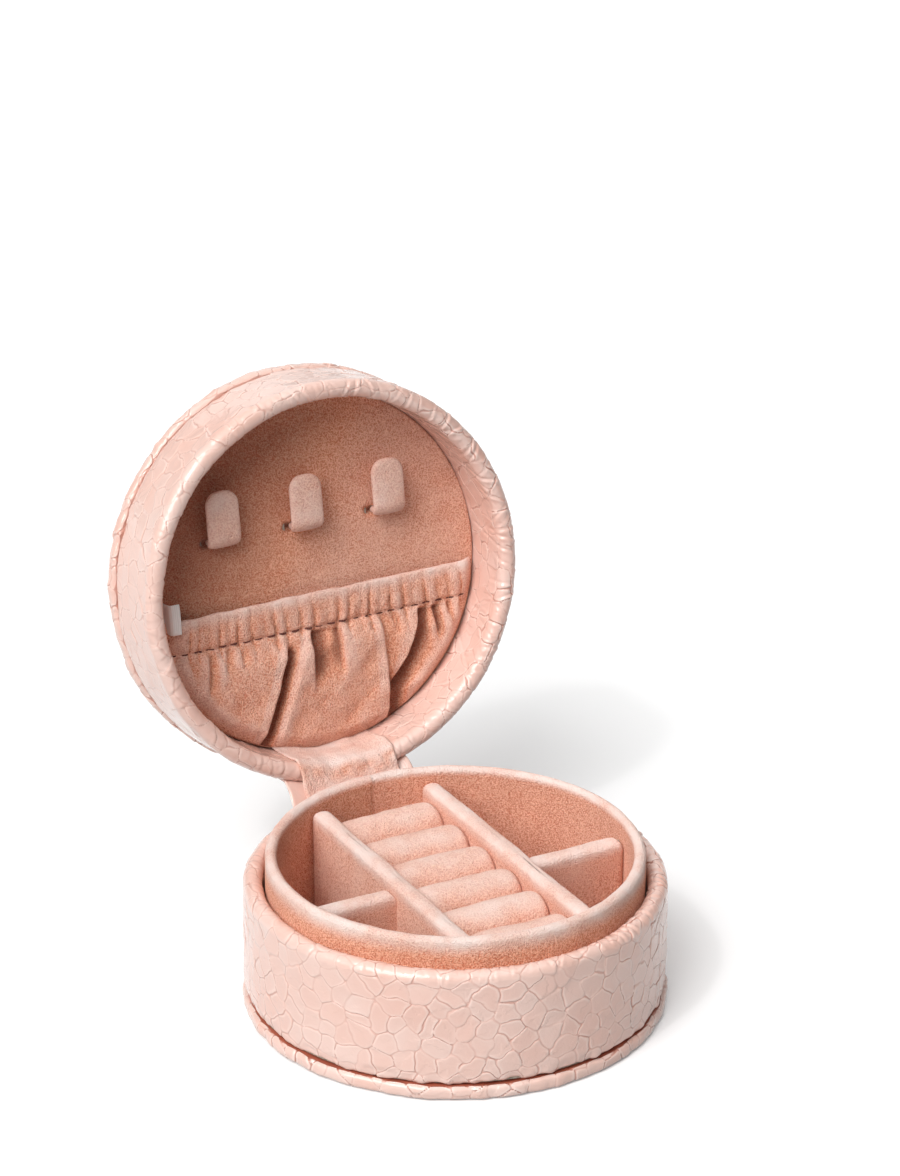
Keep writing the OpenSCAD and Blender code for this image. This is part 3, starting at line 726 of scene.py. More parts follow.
def plate(name, cells, seed, place, body, replaces, tone):
    """A wrapped plate: its whole face is at height 0, and the cloth is turned in over the other side.

    tone says how much painted shade darkens the groove between plate and wall."""
    flat_r = PLATE_R - PLATE_EDGE
    side = np.concatenate([
        arc((flat_r, PLATE_EDGE), PLATE_EDGE, -90, 0),
        arc((flat_r, PLATE_T - PLATE_EDGE), PLATE_EDGE, 0, 90), [[PLATE_IN, PLATE_T]]])
    gap = TAU * PLATE_R / (4 * cells)
    side = spaced(side, gap)
    face, side, out, run, angle, quads, last = rimmed_disc(cells, flat_r, side)
    u = np.concatenate([face[:, 0], (run[:, None] * np.cos(angle)).ravel()])
    v = np.concatenate([face[:, 1], (run[:, None] * np.sin(angle)).ravel()])
    new_u, new_v, relief, edge, deep, shade = crackle(u, v, seed, gap)
    show = 1 - smooth(PLATE_R + 4, PLATE_R + 7, np.hypot(u, v))
    show[len(face) + (len(side) - 1) * len(angle):] = 0
    relief, edge = relief * show, unseen_to_far(edge, show)
    u, v = u + (new_u - u) * show, v + (new_v - v) * show
    rho, turn = np.hypot(u, v), np.arctan2(v, u)
    at_run, at_side = np.append(flat_r, run), np.concatenate([[[flat_r, 0]], side])
    at_out = np.concatenate([[[0, -1]], out])
    over = rho > flat_r
    out_r, out_z = (np.where(over, np.interp(rho, at_run, at_out[:, k]), (0, -1)[k]) for k in (0, 1))
    radius = np.where(over, np.interp(rho, at_run, at_side[:, 0]), rho) + out_r * relief
    high = np.where(over, np.interp(rho, at_run, at_side[:, 1]), 0) + out_z * relief
    bent = np.stack([np.cos(turn), np.sin(turn), 0 * turn], -1) * PLATE_R
    pinch = 0.075 * waves(bent, seed + 4, 4.4) + 0.08 * waves(bent, seed + 5, 11) - 0.07
    # painted shade: the plate's top beside the wall is drawn in the crack colour, darkening the groove
    groove = smooth(PLATE_R - 0.55, PLATE_R - 0.95, radius) * (high > PLATE_T - 0.6)
    edge, deep = edge * (1 - groove), np.maximum(deep, tone * groove)
    radius += pinch * smooth(flat_r - 0.3, flat_r + 0.8, rho) * show
    points = np.stack([radius * np.cos(turn), radius * np.sin(turn), high], -1)
    points[:, :2] *= (1 + 0.10 * waves(points, seed + 3, 40) / PLATE_R * smooth(40, 50, rho))[:, None]
    square = 0.5 + np.stack([u, v], -1) / (2 * run[-1] + 1)
    quads, places = along_cracks(quads, square[quads], edge)
    return leather_piece(name, place(points), quads, body, replaces, (edge, deep, shade), caps=[last],
                         places=places)


def on_base(points):
    """Heights above the base wall's foot, as places on the box."""
    return points + [0, 0, plate_high[2]]


def in_lid(points):
    """Heights from the foot of the lid's wall, measured towards its rim, as places on the open lid."""
    return to_open(points * [1, 1, -1] + [0, 0, lid_high[2]])


def on_lid(points):
    """Depths below the lid plate's face, as places on the open lid."""
    return to_open(points * [1, 1, -1] + [0, 0, lid_plate_high[2]])


wall("base_wall_leather", wall_high[2] - wall_low[2], seen=23.0, seed=11, loose=1.45, place=on_base,
     body="base", replaces=["base_wall_cover"])
wall("lid_wall_leather", lid_high[2] - lid_low[2], seen=lid_high[2] - PANEL_Z - 1.0, seed=23, loose=0.35,
     place=in_lid, body="lid", replaces=["lid_wall_cover"])
plate("base_plate_leather", cells=176, seed=31, place=np.array, body="base",
      replaces=["base_plate_cover"], tone=GROOVE_PAINTED_SHADE)
plate("lid_plate_leather", cells=222, seed=47, place=on_lid, body="lid",
      replaces=["lid_plate_cover"], tone=0.35 * GROOVE_PAINTED_SHADE)


# ---- Velvet insert of the base ----

COLLAR_AROUND = 440
FLOOR_R = 41.6
COLLAR_FOOT = 4.5          # height of the collar's lower edge
SEAM_X = -0.35             # where its cloth ends meet, inside at the back


def velvet_piece(name, points, quads, body, nodes, pale, slot="velvet", **more):
    """A mesh piece of velvet; pale says how far it is drawn pale, by worn nap and painted highlight, or,
    below 0, darkened by painted shade.
    """
    layers = {} if pale is None else {"pale": pale}
    return make(name, points, quads, body, layers=layers, replaces=nodes, slot=slot,
                material=VELVET, **more)


def collar_seam(points, out):
    """The overlap where the collar's cloth ends meet, inside at the back."""
    run = SEAM_X - points[..., 0]
    inside = smooth(0.2, -0.6, out[:, 0])[:, None] * (points[..., 1] > 0)
    return 0.42 * smooth(-0.25, 0.25, run) * np.exp(-np.maximum(run, 0) / 6) * inside


def collar_nap_and_painted_shade(points, out):
    """How the nap inside the collar lies, with painted shade: darker left of the seam, partly the nap's lie
    and partly painted shade, painted shade on the left side, and a little paler elsewhere inside.
    """
    inside = smooth(0.2, -0.6, out[:, 0])[:, None]
    left = smooth(0.15, -0.15, points[..., 0] - SEAM_X) * np.exp(np.minimum(points[..., 0], 0) / 14)
    side = smooth(-22, -44, points[..., 0])
    return inside * (0.10 - 0.34 * left * (points[..., 1] > 0) - 0.42 * side)


def collar():
    """The velvet collar: an outline turned about the axis, with a slight sway of its surface."""
    lip = (COLLAR_OUT - COLLAR_IN) / 2
    crest = collar_high[2] - lip
    path = np.concatenate([
        spaced([[COLLAR_OUT, SKIRT_Z], [COLLAR_OUT, crest]], 0.6),
        spaced(arc((COLLAR_OUT - lip, crest), lip, 0, 180), 0.35)[1:],
        spaced([[COLLAR_IN, crest], [COLLAR_IN, COLLAR_FOOT]], 0.7)[1:],
        [[COLLAR_OUT - 0.65, COLLAR_FOOT], [COLLAR_OUT - 0.65, SKIRT_Z]]])
    outer, high = path[:, 0] > COLLAR_OUT - lip, path[:, 1]
    # paler towards the crest and lip: partly worn nap, partly painted highlight where the top faces the
    # light
    pale = np.where(outer, smooth(crest - 3.8, crest + 0.8, high), smooth(crest - 0.8, crest + 1.0, high))
    angle = np.arange(COLLAR_AROUND) * TAU / COLLAR_AROUND
    points, out = turned(path, angle), profile_normals(path)
    pale = 0.95 * pale[:, None] + collar_nap_and_painted_shade(points, out)
    push = 0.09 * waves(points, 71, 55) + 0.045 * waves(points, 72, 9) + collar_seam(points, out)
    points += push[..., None] * turned(out, angle)
    quads, places = grid_quads(len(path), COLLAR_AROUND, wrap_rows=True, wrap_cols=True)
    velvet_piece("collar_fabric", points, quads, "base", ["collar_velvet"], pale, places=places)


def floor_fabric():
    """The velvet on the floor of the compartments."""
    side = spaced(np.concatenate([arc((FLOOR_R, 4.8), 0.3, 90, 0), [[FLOOR_R + 0.3, 4.5]]]), 0.2)
    face, side, _, _, angle, quads, last = rimmed_disc(60, FLOOR_R, side)
    top = np.concatenate([face, np.full((len(face), 1), floor_high[2])], 1)
    top[:, 2] += 0.03 * waves(top, 83, 12)
    points = np.concatenate([top, turned(side, angle).reshape(-1, 3)])
    square = 0.5 + points[:, :2] / 90
    velvet_piece("floor_fabric", points, quads, "base", ["base_floor_lining"], None, caps=[last],
                 places=square[quads])


def rounded_bar(length, half_t, ends, inset, steps=10, straight=40):
    """Outline, seen from above, of a bar along +X with rounded ends, set in by inset."""
    loops = []
    for sign, end_r in ((1, ends[1]), (-1, ends[0])):
        deep = max(inset, end_r)
        centre_x, centre_y, r = length / 2 - deep, half_t - deep, max(end_r - inset, 0)
        lower = arc((centre_x, -centre_y), r, -90, 0, steps)
        upper = arc((centre_x, centre_y), r, 0, 90, steps)
        loops.append(np.concatenate([lower, upper]) * sign)
    first, second = loops
    t = np.linspace(0, 1, straight)[1:-1, None]
    return np.concatenate([first, first[-1] + t * (second[0] - first[-1]),
                           second, second[-1] + t * (first[0] - second[-1])])


TOP_ROUND = 1.55           # round of a divider's top edges
END_DROP = 3.6             # round of its top corners where its end is rounded
SQUARE_DROP = 2.4          # and where its end is square
ROLL_ALONG, ROLL_AROUND = 90, 96


def divider(name, along_y, ends, seed, stretch):
    """A velvet-covered divider, along Y or X, its ends rounded by ends and drawn out by stretch."""
    low, high = corners(f"{name}_cover")
    axis = 1 if along_y else 0
    begin, finish = low[axis] - stretch[0], high[axis] + stretch[1]
    length, middle = finish - begin, (begin + finish) / 2
    half_t = (high[1 - axis] - low[1 - axis]) / 2
    side = (high[1 - axis] + low[1 - axis]) / 2
    a = np.linspace(0, TAU / 4, 8)
    levels = [(z, 0.0) for z in np.linspace(low[2], high[2] - TOP_ROUND, 16)[:-1]]
    levels += [(high[2] - TOP_ROUND * (1 - math.sin(k)), TOP_ROUND * (1 - math.cos(k))) for k in a]
    levels += [(high[2] + 0.04, 0.5 * (TOP_ROUND + half_t)), (high[2] + 0.05, half_t - 0.01)]
    rings = []
    for z, inset in levels:
        ring = rounded_bar(length, half_t, ends, inset, straight=int(length / 0.9))
        rings.append(np.concatenate([ring, np.full((len(ring), 1), z)], 1))
    points = np.stack(rings)
    round_r = np.where(np.where(points[..., 0] < 0, *ends) < 1, SQUARE_DROP, END_DROP)
    past = np.clip(np.abs(points[..., 0]) - (length / 2 - round_r), 0, round_r)
    drop = round_r - np.sqrt(round_r ** 2 - past ** 2)
    points[..., 2] -= drop * smooth(high[2] - 9, high[2] - 1, points[..., 2]) * 0.8
    wave = waves(points, seed, 16) * 0.07 + waves(points, seed + 1, 5) * 0.025
    points[..., 1] *= 1 + wave / half_t
    points[..., 2] += wave * smooth(low[2] + 2, high[2], points[..., 2])
    # paler towards the top: partly worn nap, partly painted highlight where the tops face the light
    pale = 0.25 + 0.65 * smooth(high[2] - 3.2, high[2] - 0.6, points[..., 2])
    local = points + [middle, side, 0]
    if along_y:
        local = np.stack([side - points[..., 1], middle + points[..., 0], points[..., 2]], -1)
    quads, places = grid_quads(*points.shape[:2], wrap_cols=True)
    velvet_piece(f"{name}_fabric", local, quads, "base", [f"{name}_cover"], pale, "pale_velvet",
                 caps=end_caps(points), places=places)


def ring_roll(number):
    """A soft roll across the channel, its ends rounded like a pillow's."""
    node = f"ring_roll_cover_{number}"
    low, high = corners(node)
    middle, half = (low + high) / 2, (high - low) / 2
    along = np.sin(np.linspace(-TAU / 4, TAU / 4, ROLL_ALONG))
    fat = (1 - np.abs(along) ** 13) ** (1 / 2.2)
    turn = np.arange(ROLL_AROUND) * TAU / ROLL_AROUND
    points = np.stack([along[:, None] * (half[0] + 0.6) + 0 * turn,
                       half[1] * fat[:, None] * np.cos(turn), half[2] * fat[:, None] * np.sin(turn)], -1)
    place = points + middle
    wave = 0.10 * waves(place, 90 + number, 14) + 0.035 * waves(place, 60 + number, 4)
    points[..., 1:] *= (1 + (wave - 0.1) / half[1])[..., None]
    quads, places = grid_quads(ROLL_ALONG, ROLL_AROUND, wrap_cols=True)
    # paler all over, and a painted highlight on the upper half, where the light from above falls
    pale = 0.42 + 0.28 * smooth(0.5, 1.0, points[..., 2] / half[2])
    piece = velvet_piece(f"ring_roll_{number}_fabric", points + middle, quads, "base", [node], pale,
                         "pale_velvet", places=places)
    core = points[::3, ::4] * 0.9
    quads, places = grid_quads(*core.shape[:2], wrap_cols=True)
    core = make(f"ring_roll_{number}_foam", core + middle, quads, "base", places=places,
                replaces=[f"ring_roll_core_{number}"], slot="foam", material=FOAM)


collar()
floor_fabric()
rail_low, rail_high = corners("rail_left_cover")
HALF_T = (rail_high[0] - rail_low[0]) / 2
for name, along_y, ends, seed, stretch in (
        ("rail_left", True, (HALF_T, HALF_T), 101, (0, 0)),
        ("rail_right", True, (HALF_T, HALF_T), 111, (0, 0)),
        ("cross_left", False, (HALF_T, 0.3), 121, (0, 0.3)),
        ("cross_right", False, (0.3, HALF_T), 131, (0.3, 0))):
    divider(name, along_y, ends, seed, stretch)
for number in range(1, 7):
    ring_roll(number)


# ---- Lid: panel, hooks, pocket, tag ----

SLIT_Y = -12.0
HOOK_HALF_T = 0.98
hook_boxes = {side: corners(f"hook_cover_{side}") for side in ("left", "middle", "right")}


def near_slit(x, y):
    """How near a point of the panel is to a hook's slit, 0 to 1."""
    near = 0 * x
    for low, high in hook_boxes.values():
        middle, half = (low[0] + high[0]) / 2, (high[0] - low[0]) / 2
        away = np.hypot(np.maximum(np.abs(x - middle) - half + 0.6, 0), y - SLIT_Y)
        near = np.maximum(near, np.exp(-(away / 1.0) ** 2))
    return near


def lid_panel():
    """The velvet on the lid's panel, drawn in round the hooks' slits, with painted shadow towards the upper
    left and painted shade at the slits.
    """
    outer = PANEL_R + 0.2
    side = spaced(np.concatenate([arc((outer - 0.5, PANEL_Z + 0.5), 0.5, -90, 0),
                                  [[outer, panel_high[2] - 0.05]]]), 0.4)
    face, side, _, _, angle, quads, last = rimmed_disc(216, outer - 0.5, side)
    top = np.concatenate([face, np.full((len(face), 1), PANEL_Z)], 1)
    soft = 0.12 * waves(top, 141, 22) + 0.045 * waves(top, 142, 6)
    top[:, 2] += soft * smooth(45, 42, np.hypot(*face.T)) + 1.5 * near_slit(*face.T)
    points = np.concatenate([top, turned(side, angle).reshape(-1, 3)])
    square = 0.5 + points[:, :2] / 94
    # painted shadow: darker towards the upper left, where the lid's wall shades the panel, and painted
    # shade at the hooks' slits
    slant = (0.85 * points[:, 0] + 0.5 * points[:, 1]) / 45
    pale = 0.92 * smooth(-0.95, 0.2, slant) - 0.70 - 0.9 * near_slit(*points[:, :2].T)
    velvet_piece("lid_panel_fabric", to_open(points), quads, "lid", ["panel_velvet"], pale, caps=[last],
                 places=square[quads])


def swept(path, sides, half_w, half_t, steps=28, power=2.6):
    """Rings of a flat strip's section along a path: sides gives each ring's sideways direction."""
    turn = np.arange(steps) * TAU / steps
    c, s = np.cos(turn), np.sin(turn)
    a = np.sign(c) * np.abs(c) ** (2 / power)
    b = np.sign(s) * np.abs(s) ** (2 / power)
    way = np.gradient(path, axis=0)
    way /= np.linalg.norm(way, axis=1)[:, None]
    up = np.cross(way, sides)
    return (path[:, None] + half_w[:, None, None] * a[None, :, None] * sides[:, None]
            + half_t[:, None, None] * b[None, :, None] * up[:, None])


def hook_rings(side, shrink):
    """Rings of a tab that stands off the panel and bends back into its slit, its skin set in by shrink."""
    low, high = hook_boxes[side]
    middle = (low[0] + high[0]) / 2
    half_w, half_t = (high[0] - low[0]) / 2 - shrink, HOOK_HALF_T - shrink
    z, bend_r, top_r = low[2] + HOOK_HALF_T, 2.1, 3.7
    line = np.concatenate([[[low[1] + shrink, z], [SLIT_Y - bend_r, z]],
                           arc((SLIT_Y - bend_r, z + bend_r), bend_r, -90, 0), [[SLIT_Y, PANEL_Z + 0.9]]])
    path = spaced(line, 0.3)
    run = run_along(path)
    into = np.clip(top_r - run, 0, top_r)
    width = half_w - (top_r - np.sqrt(top_r ** 2 - into ** 2))
    width *= 1 - 0.34 * smooth(z + 0.9, z + 2.3, path[:, 1])
    thick = half_t * np.sqrt(np.clip(1 - (1 - np.minimum(run / 0.9, 1)) ** 2, 0.002, 1))
    path3 = np.stack([middle + 0 * run, path[:, 0], path[:, 1]], -1)
    sides = np.tile([1.0, 0, 0], (len(path3), 1))
    rings = swept(path3, sides, width, thick, power=3.2)
    return rings + 0.05 * waves(rings + low[0], 151, 7)[..., None] * [0.6, 0, 1]


def hook(side):
    """A velvet-covered hook and the stiff card in it."""
    for name, shrink, node, slot, material in (
            (f"hook_{side}_fabric", 0.0, f"hook_cover_{side}", "pale_velvet", VELVET),
            (f"hook_{side}_card", 0.55, f"hook_core_{side}", "board", CARD)):
        rings = hook_rings(side, shrink)
        quads, places = grid_quads(*rings.shape[:2], wrap_cols=True)
        make(name, to_open(rings), quads, "lid", caps=end_caps(rings), places=places, replaces=[node],
             layers={"pale": np.full(rings.shape[:2], 0.6)}, slot=slot, material=material)


MOUTH_Y = corners("pocket_header")[0][1]
STITCH_Y = 13.6
TAG_WIDE = 7.6
ARC_R = 45.0
gather_draw = np.random.default_rng(5)
GATHERS = -48 + np.cumsum(gather_draw.uniform(2.3, 3.9, 34))

# Folds of the pocket's front: points along each, where it starts, is full, weakens and ends in y, and
# its relief at distances to the right of the line.
FOLDS = (
    (((-8.9, 15), (-9.7, 19.1), (-12.7, 27.5), (-18.1, 41.3), (-18.6, 44)), (15.5, 19.5, 60, 61),
     ((-10, 0), (-3, 0.7), (-0.35, 1.0), (0.3, -2.3), (1.5, -2.1), (4.6, 0.5), (8.5, 0))),
    (((-2.7, 14), (-2.75, 27), (-2.8, 32)), (13.8, 15.5, 23, 31),
     ((-5, 0), (-2.4, 0.6), (-0.35, 0.8), (0.35, -1.7), (2.6, -1.5), (5.5, -0.9), (7.6, -0.6), (8.6, 0))),
    (((5.4, 14), (5.5, 24.8), (5.7, 30)), (14, 16, 22, 28),
     ((-3, 0), (-1.2, -0.5), (-0.3, -0.9), (0.3, 0.5), (2.5, 0.5), (7, 0))),
    (((16.0, 14), (16.7, 16), (17.2, 27.3), (17.4, 45)), (13.8, 15, 60, 61),
     ((-10, 0), (-4, 0.4), (-0.35, 0.95), (0.3, -0.7), (3, -0.5), (7, 0))),
    (((17.2, 27), (17.4, 45)), (27, 33, 60, 61), ((-0.3, 0), (0.3, -1.7), (2.5, -1.4), (8, 0))),
    (((27.3, 14), (27.0, 17), (23.7, 24.7), (17.4, 33.8)), (13.8, 15.5, 31, 34.5),
     ((-5, 0), (-2, 0.3), (-0.35, 0.6), (0.35, -2.0), (2, -1.9), (8, -0.4), (11, 0))),
    (((31.2, 14), (32.2, 23.9)), (13.8, 15, 20, 25),
     ((-3, 0), (-1.5, 0.4), (-0.3, 0.5), (0.35, -1.0), (1.5, -0.5), (3.5, 0))),
    (((35.1, 14), (36.6, 22.1)), (13.8, 15, 19, 24),
     ((-3, 0), (-1.5, 0.35), (-0.3, 0.4), (0.35, -0.9), (1.5, -0.4), (3.5, 0))),
    (((38.8, 14), (39.6, 20)), (13.8, 15, 18, 22),
     ((-2, 0), (-0.3, 0.25), (0.3, -0.7), (1.5, -0.3), (3, 0))),
    (((-29.7, 14), (-31.5, 26)), (13.8, 16, 22, 28),
     ((-3, 0), (-0.8, 0.5), (0.3, -1.0), (2, -0.4), (4, 0))),
    (((-25.2, 14), (-26.3, 21)), (13.8, 15.5, 18, 23),
     ((-3, 0), (-0.7, 0.4), (0.3, -0.8), (2, -0.3), (3.5, 0))),
    (((-20.8, 14), (-21.5, 19)), (13.8, 15, 17, 21), ((-2.5, 0), (-0.6, 0.3), (0.3, -0.7), (2.5, 0))),
    (((-13.9, 14), (-9.9, 19)), (13.8, 15, 18, 20), ((-2.5, 0), (-0.6, 0.2), (0.2, -0.5), (1.4, 0))),
    (((20.6, 14), (20.9, 19)), (13.8, 15, 17, 21), ((-2, 0), (-0.6, 0.3), (0.3, -0.6), (2, 0))),
)


def pocket_folds(x, y):
    """Relief of the pocket's large folds and of its gathers at x, y of the shut lid."""
    index = np.interp(x + 0.35 * np.sin(y * 0.45 + 0.15 * x), GATHERS, np.arange(len(GATHERS)))
    gather = np.abs(np.sin(index * TAU / 2)) ** 0.55 - 0.7
    grow = 0.30 + 1.10 * smooth(MOUTH_Y + 1.2, STITCH_Y - 2.2, y)
    fade = 1.25 * (1 - 0.92 * smooth(STITCH_Y + 1.0, 20.5, y))
    size = 0.72 + 0.40 * np.sin(index * 2.4 + 0.5 * np.sin(index))
    folds = 0 * x
    for line, (start, full, weak, end), relief in FOLDS:
        line, relief = np.array(line), np.array(relief, float)
        away = x - np.interp(y, line[:, 1], line[:, 0])
        reach = smooth(start, full, y) * (1 - smooth(weak, end, y))
        folds = folds + reach * np.interp(away, relief[:, 0], relief[:, 1])
    return folds, np.where(y < STITCH_Y, grow, fade) * size * gather


def pocket_height(x, y):
    """How far the pocket's face stands off the panel at x, y of the shut lid."""
    edge = ARC_R - np.hypot(x, y)
    header = 2.55 + 0.25 * np.sin(np.clip((y - MOUTH_Y) / (STITCH_Y - MOUTH_Y), 0, 1) * TAU / 2)
    front = 2.35 + 1.25 * smooth(STITCH_Y, STITCH_Y + 6, y) - 0.8 * smooth(28, 42, y)
    height = np.where(y < STITCH_Y, header, front)
    height = height - 0.5 * np.exp(-((y - STITCH_Y) / 0.5) ** 2)
    height = height + sum(pocket_folds(x, y))
    points = np.stack([x, y, 0 * x], -1)
    height = height + 0.14 * waves(points, 161, 9) * smooth(STITCH_Y, STITCH_Y + 5, y)
    height = height + 0.06 * waves(points, 162, 3.5)
    left = smooth(-43.5, -36.0, x)
    right = 1 - 0.8 * smooth(41.0, 44.2, x)
    brink = smooth(-0.6, 4.2, edge) ** 0.75
    ends = np.where(y < STITCH_Y + 2, left * right, 1.0)
    return 0.35 + np.maximum(height, 0.35) * np.minimum(brink, ends)


def pocket():
    """The gathered pocket with its header."""
    cols, rows = 306, 158
    x = np.linspace(-43.7, 43.7, cols)
    far = np.sqrt((ARC_R - 0.15) ** 2 - x ** 2)
    t = np.linspace(0, 1, rows)[:, None]
    grid_x = x[None] + 0 * t
    mouth = MOUTH_Y + 0.5 + 0.11 * waves(np.stack([x, 0 * x, 0 * x], -1), 171, 6) - 0.1 * x / 44
    grid_y = mouth + (far - mouth) * t
    high = pocket_height(grid_x, grid_y)
    for both_ways in (high.T, high) * 2:
        soften(both_ways)
    # painted highlight on the crests, which come out paler than the cloth beside them; the cloth is also
    # paler along the mouth
    beside = sum(pocket_height(grid_x + step, grid_y) for step in (-3, -2, 2, 3)) / 4
    crest = smooth(-0.5, 0.7, high - beside)
    lip = np.clip((grid_y - mouth) / 0.9, 0, 1)
    pale = 0.06 + 0.42 * crest + 0.5 * (1 - smooth(mouth + 0.3, mouth + 3.5, grid_y))
    # painted shade: darker in the valleys of the large folds and of the gathers
    folds, gathers = pocket_folds(grid_x, grid_y)
    pale -= 1.1 * smooth(0.3, 2.0, -folds) + 0.9 * smooth(0.25, 0.9, -gathers)
    high -= 0.75 * (1 - np.sqrt(1 - (1 - lip) ** 2))
    border = smooth(0, 3, ARC_R - np.hypot(grid_x, grid_y))
    thick = np.where(grid_y < STITCH_Y, 1.3, 0.6) * (0.25 + 0.75 * border)
    thick *= 0.15 + 0.85 * lip
    front = np.stack([grid_x, grid_y, PANEL_Z - high], -1)
    back = np.stack([grid_x, grid_y, PANEL_Z - np.maximum(high - thick, 0.12)], -1)
    piece = slab("pocket_fabric", to_open(front), to_open(back), "lid", layers={"pale": pale},
                 replaces=["pocket_front", "pocket_header"], slot="velvet", material=VELVET)


def elastic_band():
    """The elastic that runs in the pocket's header."""
    band_low, band_high = corners("pocket_elastic")
    x, y = np.meshgrid(np.linspace(-35, 41, 240), np.linspace(band_low[1], band_high[1], 10))
    level = pocket_height(x, y) - 0.5
    faces = [to_open(np.stack([x, y, PANEL_Z - level + drop], -1)) for drop in (0, 0.35)]
    slab("pocket_elastic_band", *faces, "lid", replaces=["pocket_elastic"], slot="elastic",
         material=ELASTIC)


def blob_rings(length, radius, rings=8, sides=10):
    """Rings of a small thread bead along X."""
    a = np.linspace(-TAU / 4, TAU / 4, rings)
    turn = np.arange(sides) * TAU / sides
    x = np.sin(a) * length / 2
    r = radius * np.cos(a) ** 0.5
    return np.stack([x[:, None] + 0 * turn, r[:, None] * np.cos(turn), r[:, None] * np.sin(turn)], -1)


def stitches():
    """Dark thread stitches along the pocket's header."""
    draw = np.random.default_rng(181)
    count, pitch = 25, 3.3
    points, quads = [], []
    for k in range(count):
        x = (k - (count - 1) / 2) * pitch + draw.uniform(-0.2, 0.2)
        y = STITCH_Y + draw.uniform(-0.12, 0.12)
        ring = blob_rings(2.1 + draw.uniform(-0.25, 0.25), 0.29)
        spin = draw.uniform(-0.12, 0.12)
        px = x + ring[..., 0]
        py = y + ring[..., 1] + ring[..., 0] * spin
        face = PANEL_Z - pocket_height(np.clip(px, -43.5, 43.5), py * 0 + y)
        points.append(np.stack([px, py, face + ring[..., 2] - 0.02], -1).reshape(-1, 3))
        quads.append(grid_quads(*ring.shape[:2], wrap_cols=True, start=k * ring[..., 0].size)[0])
    make("pocket_stitches", to_open(np.concatenate(points)), np.concatenate(quads), "lid",
         replaces=["pocket_stitching"], slot="thread", material=THREAD)


def tag():
    """A bare folded satin ribbon that comes up between the panel and the wall."""
    z, flat_x, end_x, half_t = tag_low[2] + 0.2, -39.5, -37.2, 0.2
    line = np.array([[flat_x - 0.5, PANEL_Z + 0.4], [flat_x - 0.3, z + 0.6], [flat_x + 0.1, z],
                     [end_x, z - 0.1]])
    path = eased(line, 0.2, 4)
    across = np.linspace(tag_low[1], tag_high[1], 48)
    out = right_of(path)
    run = np.linspace(0, 1, len(path))[:, None]
    curl = 0.14 * np.sin((across - tag_low[1]) / TAG_WIDE * TAU / 2) * run
    curl = curl + 0.04 * np.sin(across * 1.1 + run * 5)
    edge = np.minimum(across - tag_low[1], tag_high[1] - across)
    thick = half_t * (0.35 + 0.65 * smooth(0, 0.4, edge)) * (0.4 + 0.6 * smooth(1.0, 0.94, run))
    faces = []
    for sign in (1, -1):
        push = curl + sign * thick
        faces.append(np.stack([path[:, 0, None] + out[:, 0, None] * push, across[None] + 0 * run,
                               path[:, 1, None] + out[:, 1, None] * push], -1))
    return slab("tag_ribbon", to_open(faces[0]), to_open(faces[1]), "lid", replaces=["satin_tag"],
                slot="satin", material=SATIN)


lid_panel()
for side in hook_boxes:
    hook(side)
pocket()
elastic_band()
stitches()
tag()


# ---- The two hinge cloths ----

BASE_WAY = np.array([-1.0, 0.0])                # (y, z) towards the axis of the base's wall
LID_WAY = np.array([-COS, SIN])                 # and of the open lid's wall
STRIP_RELIEF = 0.8         # the strip's crackle, against the walls'
STRIP_GAP = 0.38
STRAP_KNEE = (50.75, 32.75)                     # (y, z) where the strap bends between the two rims
STRAP_BAND = (52.1, 36.4)                       # middle of the band along its bend where shade is painted
STRAP_IN_GAP = 45.6        # y up to which it lies thin in the gap round the collar


def open_yz(points):
    """(radius, height) pairs at the back of the shut lid, as (y, z) pairs of the open lid."""
    p = np.asarray(points, float)
    return to_open(np.stack([0 * p[..., 0], p[..., 0], p[..., 1]], -1))[..., 1:]


def crackled(x, run, body, seed):
    """The strip's leathercloth: how far its two faces stand off its middle, and its layers."""
    _, _, height, *layers = crackle(x.ravel(), (0 * x + run).ravel(), seed, 0.0)
    layers = {name: values.reshape(x.shape) for name, values in zip(("edge", "deep", "shade"), layers)}
    return body + (height * STRIP_RELIEF).reshape(x.shape), -body, layers


def nap_and_painted_light(x, run, path, body, thick, seed):
    """The strap's velvet: the same, with a dip along the band where it bends, painted shade along that band
    and a painted highlight just above it.
    """
    flat = np.stack([x, 0 * x + run, 0 * x], -1)
    bumps = 0.16 * waves(flat, seed + 2, 9) + 0.08 * waves(flat, seed + 3, 4)
    bumps = bumps * smooth(0.5, 0.8, thick)
    near = np.exp(-np.sum((path - STRAP_BAND) ** 2, 1) / 2.6)[:, None]
    above = np.exp(-np.sum((path - STRAP_BAND - [2.2, 2.0]) ** 2, 1) / 3.0)[:, None]
    valley = near * (0.16 + 0.13 * waves(flat * [1, 0.6, 1], seed + 4, 2.4))
    # painted shade along the band, where the strap faces down, and painted highlight above it, where it
    # faces up
    pale = 0.78 + 0.15 * above - near * (0.42 + 0.16 * waves(flat, seed + 5, 2.6))
    return body + bumps, -body + bumps + valley, {"pale": pale}


